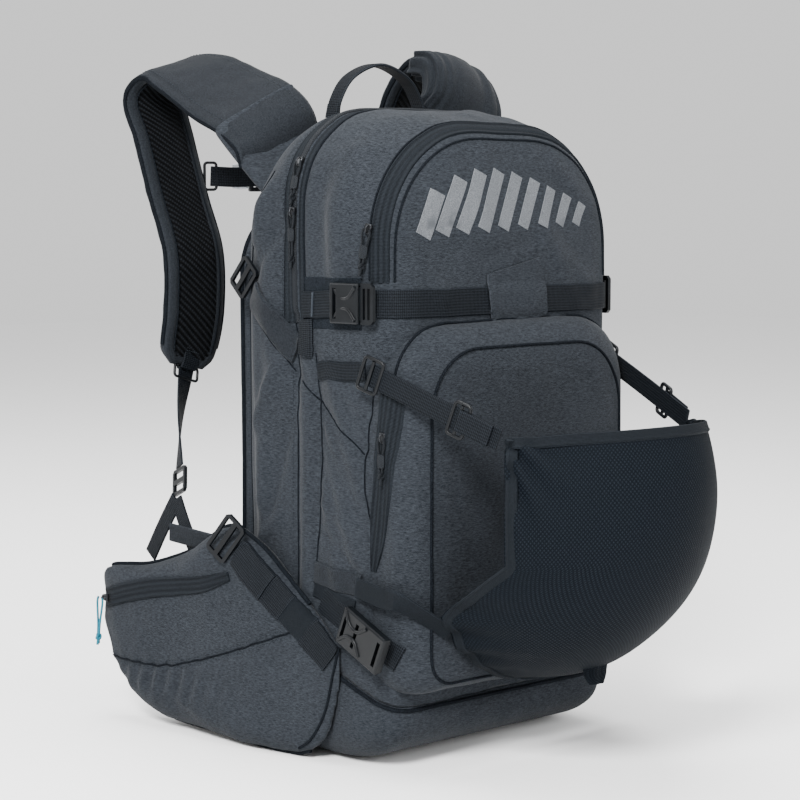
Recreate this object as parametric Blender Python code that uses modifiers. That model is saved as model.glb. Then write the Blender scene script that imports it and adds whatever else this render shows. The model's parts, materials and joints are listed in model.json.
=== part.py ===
"""Ski backpack with a helmet net, closed and standing on its base.

Metres, +Z up. +X is the right side seen from the front, -Y is the outer face and +Y
the wearer's side. The origin is the middle of the flat base. Side -1 is left, 1 is right.
"""
import math

import bmesh
import bpy
import numpy as np
from mathutils import Matrix, Vector

NAME = "ski_backpack"
SIDES = {"left": -1, "right": 1}

# Pack body
HALF_WIDTH = 0.148
HEIGHT = 0.590
BASE_RADIUS = 0.030
WALL = 0.007
GAP = 0.0003
# Sections of the body from front to back: y, inset, drop of the top, rise of the base, top radius
SECTIONS = (
    (-0.1180, 0.0340, 0.020, 0.048, 0.080),
    (-0.1135, 0.0170, 0.014, 0.032, 0.096),
    (-0.1030, 0.0070, 0.012, 0.020, 0.104),
    (-0.0850, 0.0025, 0.010, 0.010, 0.106),
    (-0.0600, 0.0000, 0.006, 0.003, 0.102),
    (-0.0300, 0.0000, 0.002, 0.000, 0.095),
    (0.0000, 0.0000, 0.000, 0.000, 0.088),
    (0.0300, 0.0000, 0.004, 0.000, 0.085),
    (0.0550, 0.0020, 0.016, 0.000, 0.083),
    (0.0700, 0.0055, 0.027, 0.000, 0.080),
    (0.0780, 0.0080, 0.034, 0.008, 0.077),
    (0.0900, 0.0180, 0.055, 0.018, 0.067),
    (0.0950, 0.0320, 0.072, 0.032, 0.053),
)
CAVITY_Y = (-0.075, -0.060, 0.0, 0.030, 0.055, 0.070, 0.078, 0.0885)
# The seam above the base tray falls towards the front; the lid turns about its front end
SEAM_REAR_Z = 0.105
SEAM_SLOPE = 0.4077
SEAM_GAP = 0.0006
LID_HINGE = (0.0, -0.119, 0.0565)
ZIP_Y = -0.001

# Front pocket: y and inset of its sections
POCKET_HALF_WIDTH = 0.143
POCKET_Z = (0.070, 0.400)
POCKET_TOP_RADIUS = 0.058
POCKET_BASE_RADIUS = 0.024
POCKET_SECTIONS = ((-0.098, 0.0), (-0.122, 0.002), (-0.136, 0.008), (-0.146, 0.022), (-0.150, 0.040))

# Wearer's side
BACK_PANEL_Y = (0.0956, 0.125)
BACK_PANEL_Z = (0.052, 0.500)
BACK_PANEL_HALF = 0.128
PROTECTOR_Y = (0.0960, 0.1045)
PROTECTOR_Z = (0.062, 0.485)
PROTECTOR_HALF = 0.103
SLEEVE_Y = (0.078, 0.086)
SLEEVE_Z = (0.120, 0.470)
SLEEVE_HALF = 0.100

# Shoulder straps: centre, half width, direction across
STRAP_THICKNESS = 0.014
LEFT_STRAP = (
    ((-0.084, 0.1030, 0.548), 0.046, (-0.85, 0.08, -0.50)),
    ((-0.090, 0.1080, 0.573), 0.046, (-0.84, 0.08, -0.52)),
    ((-0.094, 0.1300, 0.592), 0.046, (-0.85, 0.10, -0.50)),
    ((-0.097, 0.1650, 0.606), 0.045, (-0.86, 0.10, -0.49)),
    ((-0.102, 0.2150, 0.628), 0.042, (-0.90, 0.10, -0.42)),
    ((-0.107, 0.2520, 0.632), 0.036, (-0.95, 0.08, -0.30)),
    ((-0.110, 0.2720, 0.606), 0.035, (-0.98, 0.05, -0.15)),
    ((-0.111, 0.2540, 0.565), 0.035, (-1.00, 0.00, 0.00)),
    ((-0.112, 0.2305, 0.510), 0.035, (-1.00, 0.00, 0.00)),
    ((-0.114, 0.2040, 0.456), 0.035, (-1.00, 0.00, 0.00)),
    ((-0.117, 0.1990, 0.400), 0.035, (-1.00, 0.00, 0.00)),
    ((-0.121, 0.2035, 0.360), 0.033, (-1.00, 0.00, 0.00)),
    ((-0.124, 0.2035, 0.343), 0.020, (-1.00, 0.00, 0.00)),
)
RIGHT_STRAP = (
    ((0.106, 0.0860, 0.553), 0.046, (-0.86, -0.05, 0.48)),
    ((0.112, 0.0720, 0.578), 0.047, (-0.86, -0.05, 0.45)),
    ((0.116, 0.0660, 0.605), 0.044, (-0.88, -0.05, 0.38)),
    ((0.115, 0.0750, 0.629), 0.040, (-0.92, -0.05, 0.28)),
    ((0.111, 0.0980, 0.638), 0.037, (-0.97, -0.05, 0.15)),
    ((0.108, 0.1260, 0.617), 0.035, (-1.00, 0.00, 0.00)),
    ((0.106, 0.1460, 0.570), 0.035, (-1.00, 0.00, 0.00)),
    ((0.108, 0.1600, 0.500), 0.035, (-1.00, 0.00, 0.00)),
    ((0.113, 0.1720, 0.435), 0.035, (-1.00, 0.00, 0.00)),
    ((0.121, 0.1840, 0.370), 0.031, (-1.00, 0.00, 0.00)),
    ((0.124, 0.1870, 0.350), 0.020, (-1.00, 0.00, 0.00)),
)
STRAP_ADJUSTERS = {"left": (-0.150, 0.180, 0.248), "right": (0.150, 0.175, 0.258)}
STRAP_WEB_WIDTH = 0.020
COVER_STATIONS = (1, 5)
COVER_THICKNESS = 0.016
COVER_GAP = 0.0030

# Webbing
WEB_THICKNESS = 0.0014
WEB_WIDTH = 0.025
UPPER_STRAP_Z = 0.416
WEB_OFFSET = 0.0016

# Buckles: female length, male length, body thickness
FEMALE_LENGTH = 0.034
MALE_LENGTH = 0.036
BUCKLE_THICKNESS = 0.0090
PRONG_THICKNESS = 0.0034
PRONG_LENGTH = 0.020
BUCKLE_MARGIN = 0.0055
UPPER_BUCKLE_Y = -0.090
UPPER_BUCKLE_TURN = 0.10
UPPER_STRAP_BENDS = (-0.099, -0.1035, -0.1095, -0.1135, -0.1175)
UPPER_STRAP_FRONT = ((-0.100, -0.1200), (-0.050, -0.1200))
LOWER_STRAP = ((-0.037, 0.1473), (-0.132, 0.1060))
LOWER_BUCKLE_LENGTH = 0.058
SIDE_STRAP = ((0.066, 0.4245), (0.022, 0.3835))
SIDE_STRAP_WIDTH = 0.026
SIDE_STRAP_THICKNESS = 0.0026

# Hip belt: y, outer x, inner x, lowest z, highest z of each section
FIN_SECTIONS = (
    (-0.0640, 0.1530, 0.1490, 0.080, 0.108),
    (-0.0500, 0.1550, 0.1490, 0.030, 0.122),
    (-0.0250, 0.1610, 0.1490, 0.006, 0.143),
    (0.0050, 0.1690, 0.1490, 0.000, 0.168),
    (0.0300, 0.1760, 0.1490, 0.000, 0.188),
    (0.0550, 0.1810, 0.1490, 0.000, 0.200),
    (0.0780, 0.1850, 0.1430, 0.000, 0.204),
    (0.0880, 0.1860, 0.1400, 0.002, 0.204),
)
WING_SECTIONS = (
    (0.0980, 0.1520, 0.1400, 0.002, 0.196),
    (0.1150, 0.1680, 0.1370, 0.002, 0.184),
    (0.1350, 0.1860, 0.1380, 0.003, 0.170),
    (0.1650, 0.1950, 0.1450, 0.006, 0.161),
    (0.1950, 0.1985, 0.1540, 0.018, 0.155),
    (0.2250, 0.1985, 0.1660, 0.046, 0.151),
    (0.2450, 0.1960, 0.1760, 0.080, 0.147),
    (0.2540, 0.1920, 0.1810, 0.104, 0.140),
)
# Ends of the stabiliser webbing on the fin, as y and z
HIP_STRAP = ((-0.058, 0.098), (0.050, 0.186))
HIP_STRAP_BENDS = (-0.040, -0.010, 0.020)
HIP_STRAP_WIDTH = 0.034
WING_HINGE = (0.148, 0.096, 0.100)
STAY_TOPS = {"left": (0.178, 0.2170), "right": (0.173, 0.2270)}
STAY_FEET = ((0.151, 0.172), (0.222, 0.157))
STAY_WIDTH = 0.018
STAY_FORK = 0.026
STAY_X = 0.155
BELT_PATH = ((0.1730, 0.2440), (0.1620, 0.2230), (0.1510, 0.1990))
HIP_SLIDER = (0.1993, 0.236, 0.118)
BELT_Z = 0.116
BELT_WIDTH = 0.038

# Net: centre and half sizes of its dome, and the lean of its lower rim away from the pocket
NET_CENTRE = (0.0, -0.135, 0.252)
NET_HALF = (0.146, 0.198, 0.178)
NET_THICKNESS = 0.0024
NET_TOP_ELEVATION = 21.0
NET_LOW_ELEVATION = -83.0
NET_FRONT_CLEARANCE = 0.0215
NET_HINGE = (0.0, -0.153, 0.085)
NET_HOOK = (0.1535, -0.095, 0.358)
NET_STRAP_WIDTH = 0.022

HAUL_HINGE = (0.0, 0.060, 0.584)
HAUL_HALF = 0.055
HAUL_PEAK = 0.634
HAUL_WIDTH = 0.018
HAUL_THICKNESS = 0.0022
STERNUM_ENDS = ((-0.068, 0.236, 0.530), (0.066, 0.172, 0.530))
STERNUM_WIDTH = 0.020

# Zip sliders: hole that carries the pull, and where each slider starts
SLIDER_SIZE = (0.0090, 0.0066, 0.0062)
PULL_HOLE_HEIGHT = 0.0038
PULL_HOLE_RADIUS = 0.0016
CORD_RADIUS = 0.0009
PULL_LENGTH = 0.046
SHORT_PULL = 0.037
MAIN_SLIDER_Y = 0.0042
MAIN_SLIDER_Z = 0.495
ARC_SLIDER_DEGREES = 25.0
PULL_LEAN_DEGREES = 12.5
FRONT_SLIDER = (-0.1455, -0.0950, 0.481)
FRONT_SLIDER_ALONG = (0.0, 0.229, -0.973)
FRONT_SLIDER_OUT = (-0.98, -0.18, 0.0)
POCKET_SLIDER = (-0.1120, 0.300)

COLOURS = {
    "heather_fabric": ((0.045, 0.050, 0.060), 0.90),
    "dark_fabric": ((0.015, 0.017, 0.022), 0.85),
    "padded_mesh": ((0.012, 0.012, 0.014), 0.95),
    "webbing": ((0.010, 0.011, 0.016), 0.70),
    "buckle_plastic": ((0.012, 0.012, 0.014), 0.40),
    "net_fabric": ((0.006, 0.008, 0.013), 0.80),
    "foam": ((0.060, 0.060, 0.065), 0.95),
    "cord": ((0.010, 0.010, 0.012), 0.60),
    "slider_metal": ((0.020, 0.020, 0.022), 0.35),
}
COLLECTIONS = {}
JOINTS = {}


# Scene bookkeeping

def clear_scene():
    for obj in list(bpy.data.objects):
        bpy.data.objects.remove(obj, do_unlink=True)
    for name in (NAME, "cutters"):
        COLLECTIONS[name] = bpy.data.collections.new(name)
        bpy.context.scene.collection.children.link(COLLECTIONS[name])


def material(colour):
    mat = bpy.data.materials.get(colour) or bpy.data.materials.new(colour)
    mat.use_nodes = True
    shader = mat.node_tree.nodes["Principled BSDF"]
    rgb, roughness = COLOURS[colour]
    shader.inputs["Base Color"].default_value = (*rgb, 1.0)
    shader.inputs["Roughness"].default_value = roughness
    shader.inputs["Metallic"].default_value = 0.8 if colour == "slider_metal" else 0.0
    return mat


def add_joint(name, pivot, parent=None):
    """An empty on a moving body's joint, hung from the joint of the body that carries it."""
    empty = bpy.data.objects.new(f"joint_{name}", None)
    COLLECTIONS[NAME].objects.link(empty)
    carrier = Vector((0.0, 0.0, 0.0))
    if parent:
        carrier, empty.parent = JOINTS[parent]
    empty.location = Vector(pivot) - carrier
    JOINTS[name] = (Vector(pivot), empty)


def hang(obj, joint):
    """Move an object's origin onto its joint and parent it there."""
    pivot, empty = JOINTS[joint]
    obj.data.transform(Matrix.Translation(-pivot))
    obj.parent = empty


def add_part(obj, colour, joint=None):
    """Name the material of a finished piece and put it in the model, with its cutters."""
    obj.data.materials.clear()
    obj.data.materials.append(material(colour))
    COLLECTIONS[NAME].objects.link(obj)
    if joint:
        hang(obj, joint)
        for modifier in obj.modifiers:
            if modifier.type == "BOOLEAN":
                hang(modifier.object, joint)
    obj.data.shade_smooth()
    obj.data.set_sharp_from_angle(angle=math.radians(40))
    return obj


def combine(obj, tool, operation="DIFFERENCE"):
    """Cut a tool from an object, or join it on."""
    COLLECTIONS["cutters"].objects.link(tool)
    tool.hide_render = True
    tool.display_type = "WIRE"
    modifier = obj.modifiers.new(operation.title(), "BOOLEAN")
    modifier.operation = operation
    modifier.object = tool
    return obj


# Shapes

def object_from(name, bm):
    bmesh.ops.recalc_face_normals(bm, faces=bm.faces)
    mesh = bpy.data.meshes.new(name)
    bm.to_mesh(mesh)
    bm.free()
    return bpy.data.objects.new(name, mesh)


def box(name, low, high, matrix=None, bevel=0.0, segments=2):
    """A block between two corners, moved by a matrix, with rounded edges."""
    bm = bmesh.new()
    bmesh.ops.create_cube(bm, size=1.0)
    low = Vector(low)
    high = Vector(high)
    bmesh.ops.scale(bm, vec=high - low, verts=bm.verts)
    bmesh.ops.translate(bm, vec=(low + high) / 2, verts=bm.verts)
    if matrix:
        bmesh.ops.transform(bm, matrix=matrix, verts=bm.verts)
    obj = object_from(name, bm)
    if bevel:
        rounding = obj.modifiers.new("Bevel", "BEVEL")
        rounding.width = bevel
        rounding.segments = segments
        rounding.limit_method = "ANGLE"
    return obj


def cylinder(name, centre, radius, length, matrix=None, sides=10):
    """A round cutter lying along the local Y axis."""
    bm = bmesh.new()
    bmesh.ops.create_cone(bm, cap_ends=True, segments=sides, radius1=radius, radius2=radius, depth=length)
    turn = Matrix.Translation(centre) @ Matrix.Rotation(math.pi / 2, 4, "X")
    bmesh.ops.transform(bm, matrix=(matrix or Matrix()) @ turn, verts=bm.verts)
    return object_from(name, bm)


def loft(name, rings):
    """Join closed rings of equally many points, with flat caps at both ends."""
    bm = bmesh.new()
    rows = [[bm.verts.new(point) for point in ring] for ring in rings]
    count = len(rows[0])
    for low, high in zip(rows, rows[1:]):
        for i in range(count):
            j = (i + 1) % count
            bm.faces.new((low[i], low[j], high[j], high[i]))
    bm.faces.new(rows[0])
    bm.faces.new(rows[-1])
    return object_from(name, bm)


def arc(centre, radius, start, end, steps):
    """Points along a circle's arc, angles in degrees."""
    points = []
    for step in range(steps + 1):
        angle = math.radians(start + (end - start) * step / steps)
        points.append((centre[0] + radius * math.cos(angle), centre[1] + radius * math.sin(angle)))
    return points


def rounded_outline(half, low, high, low_radius, high_radius, steps=6):
    """A rectangle about x = 0 with rounded corners, as x and z pairs."""
    high_x = half - high_radius
    low_x = half - low_radius
    return (
        arc((high_x, high - high_radius), high_radius, 0, 90, steps)
        + arc((-high_x, high - high_radius), high_radius, 90, 180, steps)
        + arc((-low_x, low + low_radius), low_radius, 180, 270, steps // 2)
        + arc((low_x, low + low_radius), low_radius, 270, 360, steps // 2)
    )


def smooth_path(points, steps):
    """A Catmull-Rom curve through the points, with equal steps between each two."""
    path_points = [Vector(point) for point in points]
    first = path_points[0] * 2 - path_points[1]
    last = path_points[-1] * 2 - path_points[-2]
    line = [first] + path_points + [last]
    path = []
    for a, b, c, d in zip(line, line[1:], line[2:], line[3:]):
        for step in range(steps):
            t = step / steps
            bend = (2 * a - 5 * b + 4 * c - d) * t * t + (3 * b - a - 3 * c + d) * t ** 3
            path.append((2 * b + (c - a) * t + bend) / 2)
    return path + [path_points[-1]]


def tangents(path):
    ends = [path[0]] + path + [path[-1]]
    return [(after - before).normalized() for before, after in zip(ends, ends[2:])]


def ribbon(name, points, across, width, thickness=WEB_THICKNESS, steps=3):
    """Flat webbing along a path; across is one direction or one for each point."""
    if isinstance(across[0], (int, float)):
        across = [across] * len(points)
    bm = bmesh.new()
    rows = []
    path = smooth_path(points, steps)
    for point, tangent, side in zip(path, tangents(path), smooth_path(across, steps)):
        side = (side - tangent * side.dot(tangent)).normalized() * width / 2
        rows.append((bm.verts.new(point - side), bm.verts.new(point + side)))
    for (a, b), (c, d) in zip(rows, rows[1:]):
        bm.faces.new((a, b, d, c))
    mesh = bpy.data.meshes.new(name)
    bm.to_mesh(mesh)
    bm.free()
    obj = bpy.data.objects.new(name, mesh)
    solidify = obj.modifiers.new("Solidify", "SOLIDIFY")
    solidify.thickness = thickness
    solidify.offset = 0.0
    return obj


def mesh_from_curve(name, curve, matrix):
    """Turn a curve into a closed mesh in world space."""
    obj = bpy.data.objects.new(name, curve)
    COLLECTIONS["cutters"].objects.link(obj)
    graph = bpy.context.evaluated_depsgraph_get()
    mesh = bpy.data.meshes.new_from_object(obj.evaluated_get(graph))
    bpy.data.objects.remove(obj, do_unlink=True)
    bpy.data.curves.remove(curve)
    bm = bmesh.new()
    bm.from_mesh(mesh)
    bmesh.ops.remove_doubles(bm, verts=bm.verts, dist=0.00001)
    bmesh.ops.transform(bm, matrix=matrix, verts=bm.verts)
    bpy.data.meshes.remove(mesh)
    return object_from(name, bm)


def plate(name, outlines, thickness, matrix):
    """A flat plate from closed outlines, its middle plane at local z = 0; inner ones are holes."""
    curve = bpy.data.curves.new(name, "CURVE")
    curve.dimensions = "2D"
    curve.fill_mode = "BOTH"
    curve.extrude = thickness / 2
    for outline in outlines:
        spline = curve.splines.new("POLY")
        spline.points.add(len(outline) - 1)
        for point, (u, v) in zip(spline.points, outline):
            point.co = (u, v, 0.0, 1.0)
        spline.use_cyclic_u = True
    return mesh_from_curve(name, curve, matrix)


def cord_loop(name, points, radius, matrix):
    """A closed loop of round cord."""
    curve = bpy.data.curves.new(name, "CURVE")
    curve.dimensions = "3D"
    curve.bevel_depth = radius
    curve.bevel_resolution = 2
    spline = curve.splines.new("POLY")
    spline.points.add(len(points) - 1)
    for point, place in zip(spline.points, points):
        point.co = (*place, 1.0)
    spline.use_cyclic_u = True
    return mesh_from_curve(name, curve, matrix)


def basis(origin, along, normal):
    """Local axes: x along, z as near to the normal as it can be."""
    along = Vector(along).normalized()
    normal = Vector(normal)
    normal = (normal - along * normal.dot(along)).normalized()
    turn = Matrix((along, normal.cross(along), normal)).transposed()
    return Matrix.Translation(origin) @ turn.to_4x4()


def mirrored(point, side):
    return (side * point[0], point[1], point[2])


def rectangle(u0, u1, half):
    return [(u0, -half), (u1, -half), (u1, half), (u0, half)]


# Pack body

def at_section(y, column):
    return float(np.interp(y, [row[0] for row in SECTIONS], [row[column] for row in SECTIONS]))


def body_half_width(y):
    return HALF_WIDTH - at_section(y, 1)


def body_loft(name, stations, shrink):
    """The pack's outer form, made smaller by shrink on every side."""
    rings = []
    for y in stations:
        inset = at_section(y, 1) + shrink
        top = HEIGHT - at_section(y, 2) - inset
        base = at_section(y, 3) + shrink
        low_radius = max(BASE_RADIUS - inset, 0.004)
        high_radius = at_section(y, 4) - shrink
        outline = rounded_outline(HALF_WIDTH - inset, base, top, low_radius, high_radius)
        rings.append([(x, y, z) for x, z in outline])
    return loft(name, rings)


def body_solid(name):
    return body_loft(name, [row[0] for row in SECTIONS], 0.0)


def cavity(name):
    return body_loft(name, CAVITY_Y, WALL)


def below_seam(name, lift):
    """Everything under the seam between the base and the panels above it."""
    reach = 0.25
    front_z = SEAM_REAR_Z - SEAM_SLOPE * reach
    profile = [(-reach, -reach), (reach, -reach), (reach, SEAM_REAR_Z), (0.0, SEAM_REAR_Z), (-reach, front_z)]
    rings = [[(x, y, z + (lift if z > -reach else 0.0)) for y, z in profile] for x in (-reach, reach)]
    return loft(name, rings)


def half_space(name, front, back):
    return box(name, (-0.3, front, -0.1), (0.3, back, 0.7))


def make_base_panel():
    obj = body_solid("base_panel")
    combine(obj, below_seam("base_keep", 0.0), "INTERSECT")
    combine(obj, cavity("base_hollow"))
    add_part(obj, "heather_fabric")


def make_rear_shell():
    obj = body_solid("rear_shell")
    combine(obj, below_seam("rear_seam", SEAM_GAP))
    combine(obj, half_space("rear_front", -0.3, 0.0))
    combine(obj, cavity("rear_hollow"))
    add_part(obj, "heather_fabric")


def make_front_compartment():
    obj = body_solid("front_compartment")
    combine(obj, below_seam("lid_seam", SEAM_GAP))
    combine(obj, half_space("lid_back", ZIP_Y, 0.3))
    combine(obj, cavity("lid_hollow"))
    add_part(obj, "heather_fabric", "front_panel")


def make_front_pocket():
    rings = []
    for y, inset in POCKET_SECTIONS:
        low = POCKET_Z[0] + inset / 2
        high = POCKET_Z[1] - inset
        outline = rounded_outline(POCKET_HALF_WIDTH - inset, low, high, POCKET_BASE_RADIUS, POCKET_TOP_RADIUS)
        rings.append([(x, y, z) for x, z in outline])
    obj = loft("front_pocket", rings)
    combine(obj, body_loft("pocket_body", [row[0] for row in SECTIONS], -GAP))
    add_part(obj, "heather_fabric", "front_panel")


def panel_slab(name, half, y_range, z_range, radius, base_radius):
    outline = rounded_outline(half, z_range[0], z_range[1], base_radius, radius, 4)
    return loft(name, [[(x, y, z) for x, z in outline] for y in y_range])


def make_back_panel():
    obj = panel_slab("back_panel", BACK_PANEL_HALF, BACK_PANEL_Y, BACK_PANEL_Z, 0.060, 0.025)
    rounding = obj.modifiers.new("Bevel", "BEVEL")
    rounding.width = 0.005
    rounding.segments = 2
    rounding.limit_method = "ANGLE"
    rounding.angle_limit = math.radians(50)
    room = 0.0015
    hollow_y = (BACK_PANEL_Y[0] - 0.01, PROTECTOR_Y[1] + room)
    hollow_z = (PROTECTOR_Z[0] - room, PROTECTOR_Z[1] + room)
    combine(obj, panel_slab("protector_room", PROTECTOR_HALF + room, hollow_y, hollow_z, 0.050, 0.020))
    channel = box("back_channel", (-0.013, 0.1120, 0.0), (0.013, 0.13, 0.6))
    combine(obj, channel)
    add_part(obj, "padded_mesh")


def make_back_protector():
    obj = panel_slab("back_protector", PROTECTOR_HALF, PROTECTOR_Y, PROTECTOR_Z, 0.050, 0.020)
    add_part(obj, "foam")


def make_hydration_sleeve():
    obj = panel_slab("hydration_sleeve", SLEEVE_HALF, SLEEVE_Y, SLEEVE_Z, 0.030, 0.030)
    add_part(obj, "dark_fabric")


# Shoulder straps and what hangs on them

def oval(half_width, half_thickness, count=12):
    """A flat section with full sides, as pairs across and through the strap."""
    points = []
    for step in range(count):
        angle = 2 * math.pi * (step + 0.5) / count
        cos, sin = math.cos(angle), math.sin(angle)
        points.append((
            half_width * math.copysign(abs(cos) ** 0.45, cos),
            half_thickness * math.copysign(abs(sin) ** 0.7, sin),
        ))
    return points


def padded_strap(name, stations, thickness, widen=0.0, steps=2):
    centres = smooth_path([row[0] for row in stations], steps)
    halves = smooth_path([(row[1] + widen, 0.0, 0.0) for row in stations], steps)
    sides = smooth_path([row[2] for row in stations], steps)
    rings = []
    for centre, tangent, half, side in zip(centres, tangents(centres), halves, sides):
        side = (side - tangent * side.dot(tangent)).normalized()
        through = side.cross(tangent)
        rings.append([centre + side * a + through * b for a, b in oval(half.x, thickness / 2)])
    return loft(name, rings)


def make_shoulder_straps():
    add_part(padded_strap("shoulder_strap_left", LEFT_STRAP, STRAP_THICKNESS), "padded_mesh")
    right = padded_strap("shoulder_strap_right", RIGHT_STRAP, STRAP_THICKNESS)
    add_part(right, "padded_mesh")


def make_strap_cover():
    """The gathered tube cover that wraps the top of the right strap."""
    stations = RIGHT_STRAP[COVER_STATIONS[0]:COVER_STATIONS[1]]
    obj = padded_strap("strap_cover_right", stations, STRAP_THICKNESS + COVER_THICKNESS, 0.007)
    inner = padded_strap("cover_room", RIGHT_STRAP, STRAP_THICKNESS + 2 * COVER_GAP, COVER_GAP)
    combine(obj, inner)
    add_part(obj, "dark_fabric")


def ladder_lock(name, at, along, normal, width, length=0.026, thickness=0.0032):
    """A flat adjuster with two slots and a bar between them."""
    half = width / 2 + 0.0045
    outline = [(-length / 2, -half + 0.003), (-length / 2 + 0.003, -half), (length / 2 - 0.003, -half)]
    outline += [(length / 2, -half + 0.003)]
    outline += [(u, -v) for u, v in reversed(outline)]
    slot = width / 2 + 0.0008
    slots = [rectangle(-length / 2 + 0.0035, -0.0025, slot), rectangle(0.0025, length / 2 - 0.0035, slot)]
    return plate(name, [outline] + slots, thickness, basis(at, along, normal))


def make_strap_webbing(side_name):
    """Webbing from the foot of the strap down to the adjuster above the hip belt."""
    side = SIDES[side_name]
    stations = LEFT_STRAP if side < 0 else RIGHT_STRAP
    foot = Vector(stations[-1][0])
    low = Vector(STRAP_ADJUSTERS[side_name])
    start = foot + (low - foot).normalized() * 0.004
    middle = start.lerp(low, 0.5) + Vector((0.0, 0.004, 0.0))
    name = f"strap_webbing_{side_name}"
    across = [(-1.0, 0.0, 0.0), (-0.75, 0.66, 0.0), (-0.20, 0.98, 0.0)]
    add_part(ribbon(name, [start, middle, low], across, STRAP_WEB_WIDTH, steps=5), "webbing")
    at = low + (low - middle).normalized() * 0.0145
    lock = ladder_lock(f"strap_adjuster_{side_name}", at, low - middle, (side, 0.2, 0.0), STRAP_WEB_WIDTH)
    add_part(lock, "buckle_plastic")


def make_haul_loop():
    half, peak = HAUL_HALF, HAUL_PEAK
    low = HAUL_HINGE[2] - 0.004
    points = [(-half, low), (-half * 0.93, low + 0.020), (-half * 0.62, peak - 0.012), (0.0, peak)]
    points += [(-x, z) for x, z in reversed(points[:-1])]
    path = [(x, HAUL_HINGE[1], z) for x, z in points]
    add_part(ribbon("haul_loop", path, (0.0, 1.0, 0.0), HAUL_WIDTH, HAUL_THICKNESS), "webbing", "haul_loop")


# Buckles

def buckle_female(name, matrix, width):
    """Socket half: local x runs from the webbing bar to the mouth, local z is up from the webbing."""
    half = width / 2 + BUCKLE_MARGIN
    middle = BUCKLE_THICKNESS / 2
    obj = box(name, (0.0, -half, 0.0), (FEMALE_LENGTH, half, BUCKLE_THICKNESS), matrix, 0.0016)
    room = PRONG_THICKNESS / 2 + 0.0007
    mouth_half = half - 0.0025
    mouth_low = (FEMALE_LENGTH - PRONG_LENGTH - 0.002, -mouth_half, middle - room)
    mouth_high = (FEMALE_LENGTH + 0.001, mouth_half, middle + room)
    combine(obj, box(f"{name}_mouth", mouth_low, mouth_high, matrix))
    window_low = (FEMALE_LENGTH - 0.018, -half - 0.001, middle - room - 0.001)
    window_high = (FEMALE_LENGTH - 0.008, half + 0.001, middle + room + 0.001)
    combine(obj, box(f"{name}_window", window_low, window_high, matrix))
    slot = box(f"{name}_slot", (0.004, -width / 2 - 0.001, -0.001), (0.008, width / 2 + 0.001, 0.011), matrix)
    return combine(obj, slot)


def buckle_male(name, matrix, width):
    """Prong half: local x runs from the webbing bar to the prong tips."""
    half = width / 2 + BUCKLE_MARGIN
    tip = MALE_LENGTH
    shoulder = tip - PRONG_LENGTH
    prong = half - 0.0035
    outline = [(0.0, -half + 0.003), (0.003, -half), (shoulder - 0.0012, -half), (shoulder - 0.0012, -prong)]
    outline += [(tip - 0.006, -prong), (tip, -prong + 0.003), (tip, -prong + 0.005)]
    outline += [(shoulder + 0.002, -prong + 0.0045)]
    outline += [(shoulder, -0.003), (tip - 0.002, -0.0015)]
    outline += [(u, -v) for u, v in reversed(outline)]
    slots = [rectangle(0.0035, 0.0065, width / 2 + 0.001), rectangle(0.0090, 0.0120, width / 2 + 0.001)]
    lift = Matrix.Translation((0.0, 0.0, BUCKLE_THICKNESS / 2))
    return plate(name, [outline] + slots, PRONG_THICKNESS, matrix @ lift)


def add_buckle(prefix, suffix, mouth, toward_male, normal, width, female_joint, male_joint):
    """A closed side-release buckle whose female mouth is at a point."""
    along = Vector(toward_male).normalized()
    mouth = Vector(mouth)
    female = basis(mouth - along * FEMALE_LENGTH, along, normal)
    male = basis(mouth + along * (MALE_LENGTH - PRONG_LENGTH), -along, normal)
    add_part(buckle_female(f"{prefix}_buckle_female{suffix}", female, width), "buckle_plastic", female_joint)
    add_part(buckle_male(f"{prefix}_buckle_male{suffix}", male, width), "buckle_plastic", male_joint)


# Compression straps on the sides and round the front

def make_upper_strap():
    """Webbing round the front from one side's buckle to the other's."""
    plan = []
    for y in UPPER_STRAP_BENDS:
        plan.append((-body_half_width(y) - WEB_OFFSET, y - (0.0012 if y < -0.11 else 0.0), UPPER_STRAP_Z))
    plan += [(x, y, UPPER_STRAP_Z) for x, y in UPPER_STRAP_FRONT]
    plan += [(-x, y, z) for x, y, z in reversed(plan)]
    obj = ribbon("upper_strap", plan, (0.0, 0.0, 1.0), WEB_WIDTH, steps=2)
    add_part(obj, "webbing", "front_panel")


def make_upper_buckle(side_name):
    side = SIDES[side_name]
    mouth = (side * (HALF_WIDTH - 0.0006), UPPER_BUCKLE_Y, UPPER_STRAP_Z)
    joint = f"upper_buckle_{side_name}"
    add_joint(joint, mouth, "front_panel")
    toward_male = (-side * UPPER_BUCKLE_TURN, -1.0, 0.0)
    normal = (side, 0.0, 0.0)
    add_buckle("upper", f"_{side_name}", mouth, toward_male, normal, WEB_WIDTH, "front_panel", joint)


def make_lower_strap(side_name):
    """The sloping lower strap and its closed buckle."""
    side = SIDES[side_name]
    x = side * (HALF_WIDTH + WEB_OFFSET)
    start, end = (Vector((x, y, z)) for y, z in LOWER_STRAP)
    along = (end - start).normalized()
    across = along.cross(Vector((side, 0.0, 0.0)))
    strap = ribbon(f"lower_strap_{side_name}", [start, start.lerp(end, 0.5), end], across, WEB_WIDTH, steps=1)
    add_part(strap, "webbing", "front_panel")
    length = LOWER_BUCKLE_LENGTH
    half = WEB_WIDTH / 2 + BUCKLE_MARGIN
    at = start + along * 0.037 + Vector((side * 0.0018, 0.0, 0.0))
    matrix = basis(at, along, (side, 0.0, 0.0))
    high = (length, half, BUCKLE_THICKNESS)
    buckle = box(f"lower_buckle_{side_name}", (0.0, -half, 0.0), high, matrix, 0.0018)
    for u in (0.004, 0.020, length - 0.008):
        slot = box(f"lower_slot_{side_name}", (u, -0.012, -0.001), (u + 0.004, 0.012, 0.012), matrix)
        combine(buckle, slot)
    add_part(buckle, "buckle_plastic", "front_panel")


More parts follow.
